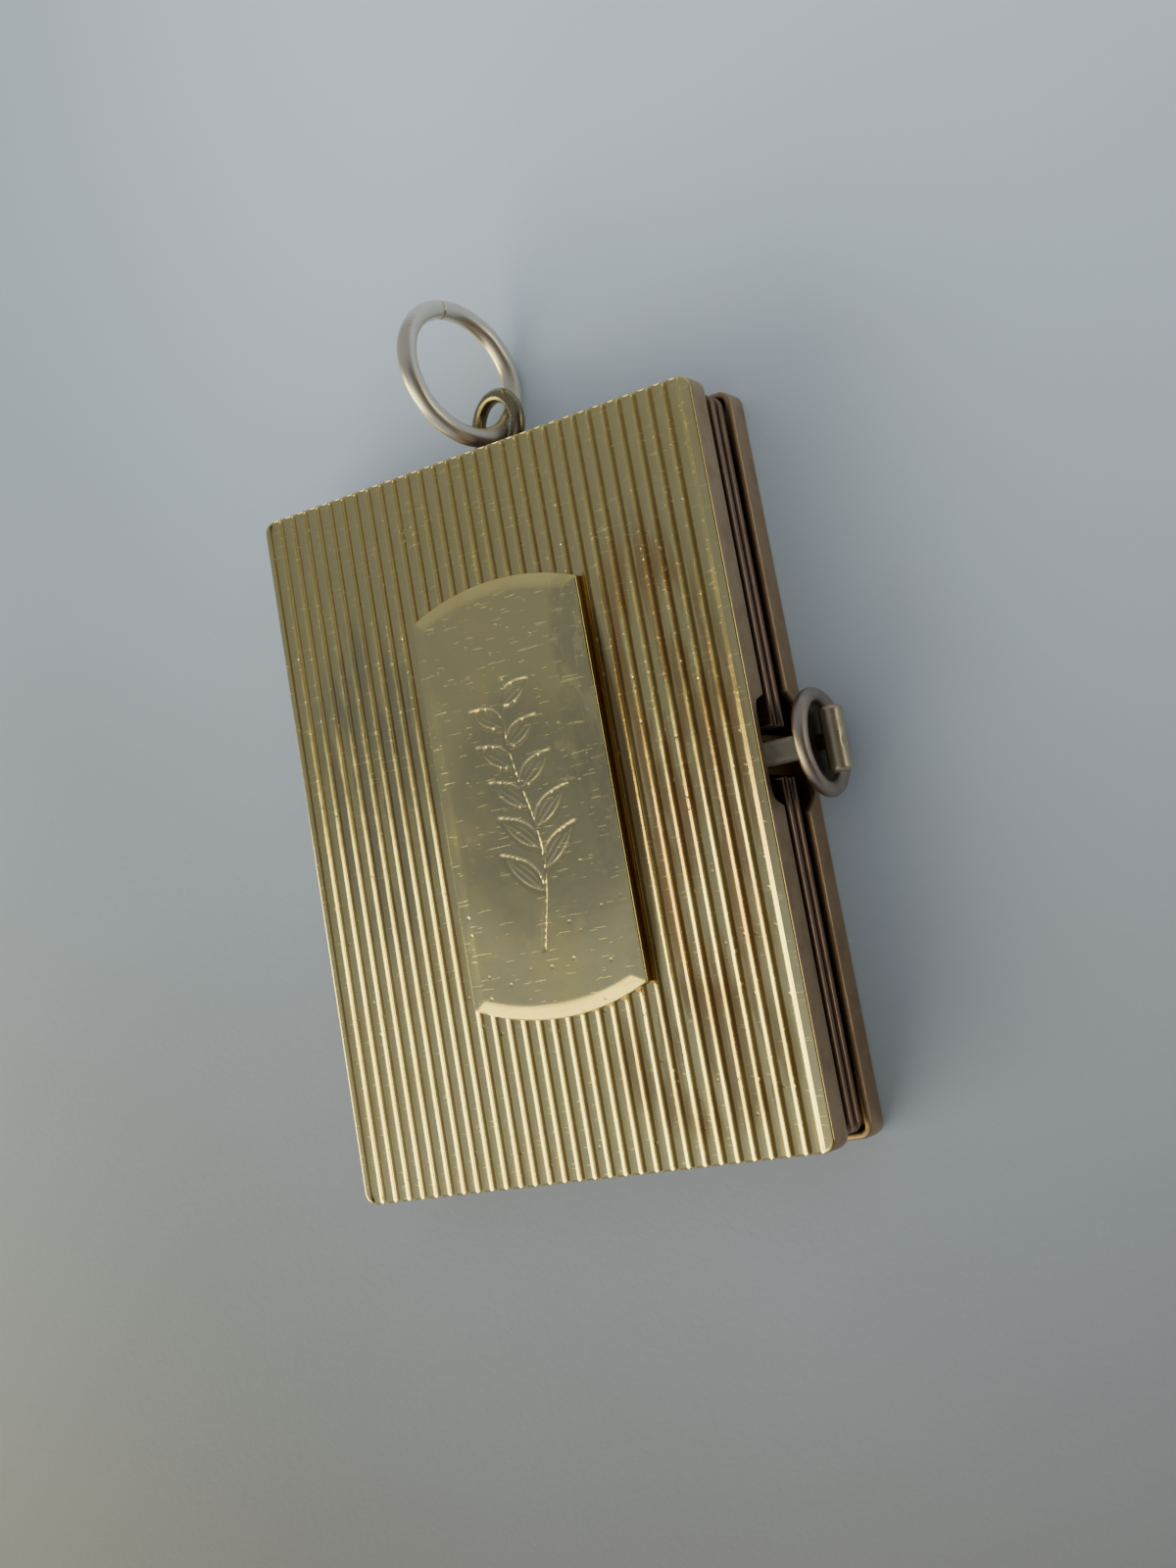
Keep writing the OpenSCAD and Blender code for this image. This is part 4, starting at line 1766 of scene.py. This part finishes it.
@dataclass
class Studio:
    """Table, soft light and camera.

    A span gives the part of a direction's X, Y or Z over which a light of the room fades in.
    """

    camera_place: Triple = (35.672, -7.001, 60.716)
    camera_right: Triple = (0.8249, -0.1670, -0.5401)
    camera_down: Triple = (-0.2294, -0.9721, -0.0497)
    camera_ahead: Triple = (-0.5166, 0.1650, -0.8402)
    lens: float = 43.82
    shift: tuple[float, float] = (0.0419, -0.0621)
    sensor: float = 36.0
    seen: tuple[float, float] = (0.002, 20.0)
    table_half: float = 1.5
    table_drop: float = 0.00001
    window_turn: float = 188.0
    window_far: float = 0.4
    window_wide: float = 0.2
    window_high: float = 0.275
    window_lift: float = 0.01
    window_light: float = 6.5
    window_tint: Colour = (1.0, 0.92, 0.32)
    lamp_turn: float = 212.0
    lamp_height: float = 0.2
    lamp_wide: float = 0.05
    lamp_light: float = 22.0
    lamp_tint: Colour = (1.0, 0.98, 0.9)
    daylight_turn: float = 214.8
    daylight_height: float = 0.18
    daylight_wide: float = 0.5
    daylight_high: float = 0.34
    daylight: float = 4.2
    daylight_tint: Colour = (0.97, 0.99, 1.0)
    dim_left: Colour = (0.18, 0.205, 0.285)
    dim_right: Colour = (0.09, 0.075, 0.06)
    dark_right: Colour = (0.04, 0.034, 0.028)
    overhead: Colour = (0.22, 0.22, 0.23)
    far_room: Colour = (0.32, 0.335, 0.35)
    glow: Colour = (2.6, 2.3, 1.0)
    edge_light: Colour = (2.2, 2.1, 1.7)
    table_fill: Colour = (0.62, 0.63, 0.64)
    backdrop: Colour = (0.5, 0.52, 0.55)
    left_span: Span = (-0.07, 0.03)
    left_share: float = 0.25
    right_span: Span = (0.25, 0.33)
    deep_span: Span = (0.26, 0.68)
    strip_at: float = 0.17
    strip_span: Span = (0.12, 0.06)
    strip_rise: Span = (0.3, 0.7)
    near_span: Span = (0.13, -0.07)
    near_gain: float = 0.75
    far_span: Span = (0.16, 0.62)
    glow_across: Span = (-0.15, -0.35)
    glow_along: Span = (-0.13, -0.24)
    glow_rise: Span = (0.45, 0.6)
    edge_across: Span = (0.93, 0.97)
    edge_rise: Span = (0.0, 0.08)

    def camera(self) -> None:
        """Adds the camera at the photograph's angle."""
        data = bpy.data.cameras.new("camera")
        data.lens = self.lens
        data.sensor_width = self.sensor
        data.shift_x, data.shift_y = self.shift
        data.clip_start, data.clip_end = self.seen
        eye = bpy.data.objects.new("camera", data)
        right, down, ahead = (Vector(a) for a in (self.camera_right, self.camera_down,
                                                  self.camera_ahead))
        turn = Matrix((right, -down, -ahead)).transposed().to_4x4()
        eye.matrix_world = Matrix.Translation(Vector(self.camera_place) * MM) @ turn
        bpy.context.scene.collection.objects.link(eye)
        bpy.context.scene.camera = eye

    def table(self) -> None:
        """Adds the table under the locket."""
        bm = bmesh.new()
        under = Matrix.Translation(Vector((0.0, 0.0, -self.table_drop)))
        bmesh.ops.create_grid(bm, x_segments=8, y_segments=8, size=self.table_half, matrix=under)
        mesh = bpy.data.meshes.new("table")
        bm.to_mesh(mesh)
        bm.free()
        mesh.materials.append(TableTop().material())
        table = bpy.data.objects.new("table", mesh)
        bpy.context.scene.collection.objects.link(table)

    def world(self) -> None:
        """Lights the room: what the metal mirrors, what lights the table, and the far wall."""
        world = bpy.data.worlds.new("room")
        bpy.context.scene.world = world
        world.use_nodes = True
        graph = Graph(world.node_tree)
        x, y, z = graph.split(graph.add("ShaderNodeTexCoord").outputs["Generated"])
        dark = graph.blend(x.ramp(*self.deep_span), self.dim_right, self.dark_right)
        colour = graph.blend(x.ramp(*self.left_span) * self.left_share, self.dim_left, dark)
        colour = graph.blend(x.ramp(*self.right_span), colour, dark)
        strip = (x - self.strip_at).size().ramp(*self.strip_span) * z.ramp(*self.strip_rise)
        colour = graph.blend(strip, colour, self.overhead)
        nearer = y.ramp(*self.near_span) * self.near_gain + 1.0
        gain = graph.add("ShaderNodeCombineXYZ", {0: nearer, 1: nearer, 2: nearer}).outputs[0]
        colour = graph.blend(1.0, colour, gain, "MULTIPLY")
        colour = graph.blend(y.ramp(*self.far_span), colour, self.far_room)
        glowing = (y.ramp(*self.glow_along) * x.ramp(*self.glow_across)
                   * z.ramp(*self.glow_rise))
        colour = graph.blend(glowing, colour, self.glow)
        edge = x.ramp(*self.edge_across) * z.ramp(*self.edge_rise)
        colour = graph.blend(edge, colour, self.edge_light)
        path = graph.add("ShaderNodeLightPath").outputs
        colour = graph.blend(graph.num(path["Is Diffuse Ray"]), colour, self.table_fill)
        colour = graph.blend(graph.num(path["Is Camera Ray"]), colour, self.backdrop)
        back = graph.add("ShaderNodeBackground", {"Color": colour, "Strength": 1.0})
        out = graph.add("ShaderNodeOutputWorld")
        world.node_tree.links.new(back.outputs[0], out.inputs[0])

    def lights(self) -> None:
        """Adds the window and the lamp that the metal mirrors, and the daylight on the table."""
        far = self.window_far
        for name, turn, height, size, light, tint, mirrored in (
                ("window_mirrored", self.window_turn, self.window_high / 2 + self.window_lift,
                 (self.window_wide, self.window_high), self.window_light, self.window_tint, True),
                ("lamp_mirrored", self.lamp_turn, self.lamp_height,
                 (self.lamp_wide, self.lamp_wide), self.lamp_light, self.lamp_tint, True),
                ("daylight_on_table", self.daylight_turn, self.daylight_height,
                 (self.daylight_wide, self.daylight_high), self.daylight, self.daylight_tint,
                 False)):
            angle = math.radians(turn)
            spot = (far * math.cos(angle), far * math.sin(angle), height)
            lamp = Panel(name, spot, size, light * math.pi * size[0] * size[1], tint).build()
            lamp.visible_glossy = mirrored
            lamp.visible_diffuse = not mirrored

    def build(self) -> None:
        """Adds all of the stage."""
        self.camera()
        self.table()
        self.world()
        self.lights()


def main() -> None:
    """Builds the locket piece by piece on its frame."""
    logging.basicConfig(level=logging.INFO, format="%(name)s: %(message)s")
    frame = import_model()
    case = Case()
    face, row = fluted_face_tree(), row_tree()
    for side in Side:
        Cover(case, side).build(face)
    Cartouche(case).build()
    Hinge(case).build(row)
    for upper in (True, False):
        Leaf(case, upper).build()
    TurnCatch(case).build()
    eye = Eye(case)
    eye.build()
    JumpRing(eye).build()
    Studio().build()


if __name__ == "__main__":
    main()
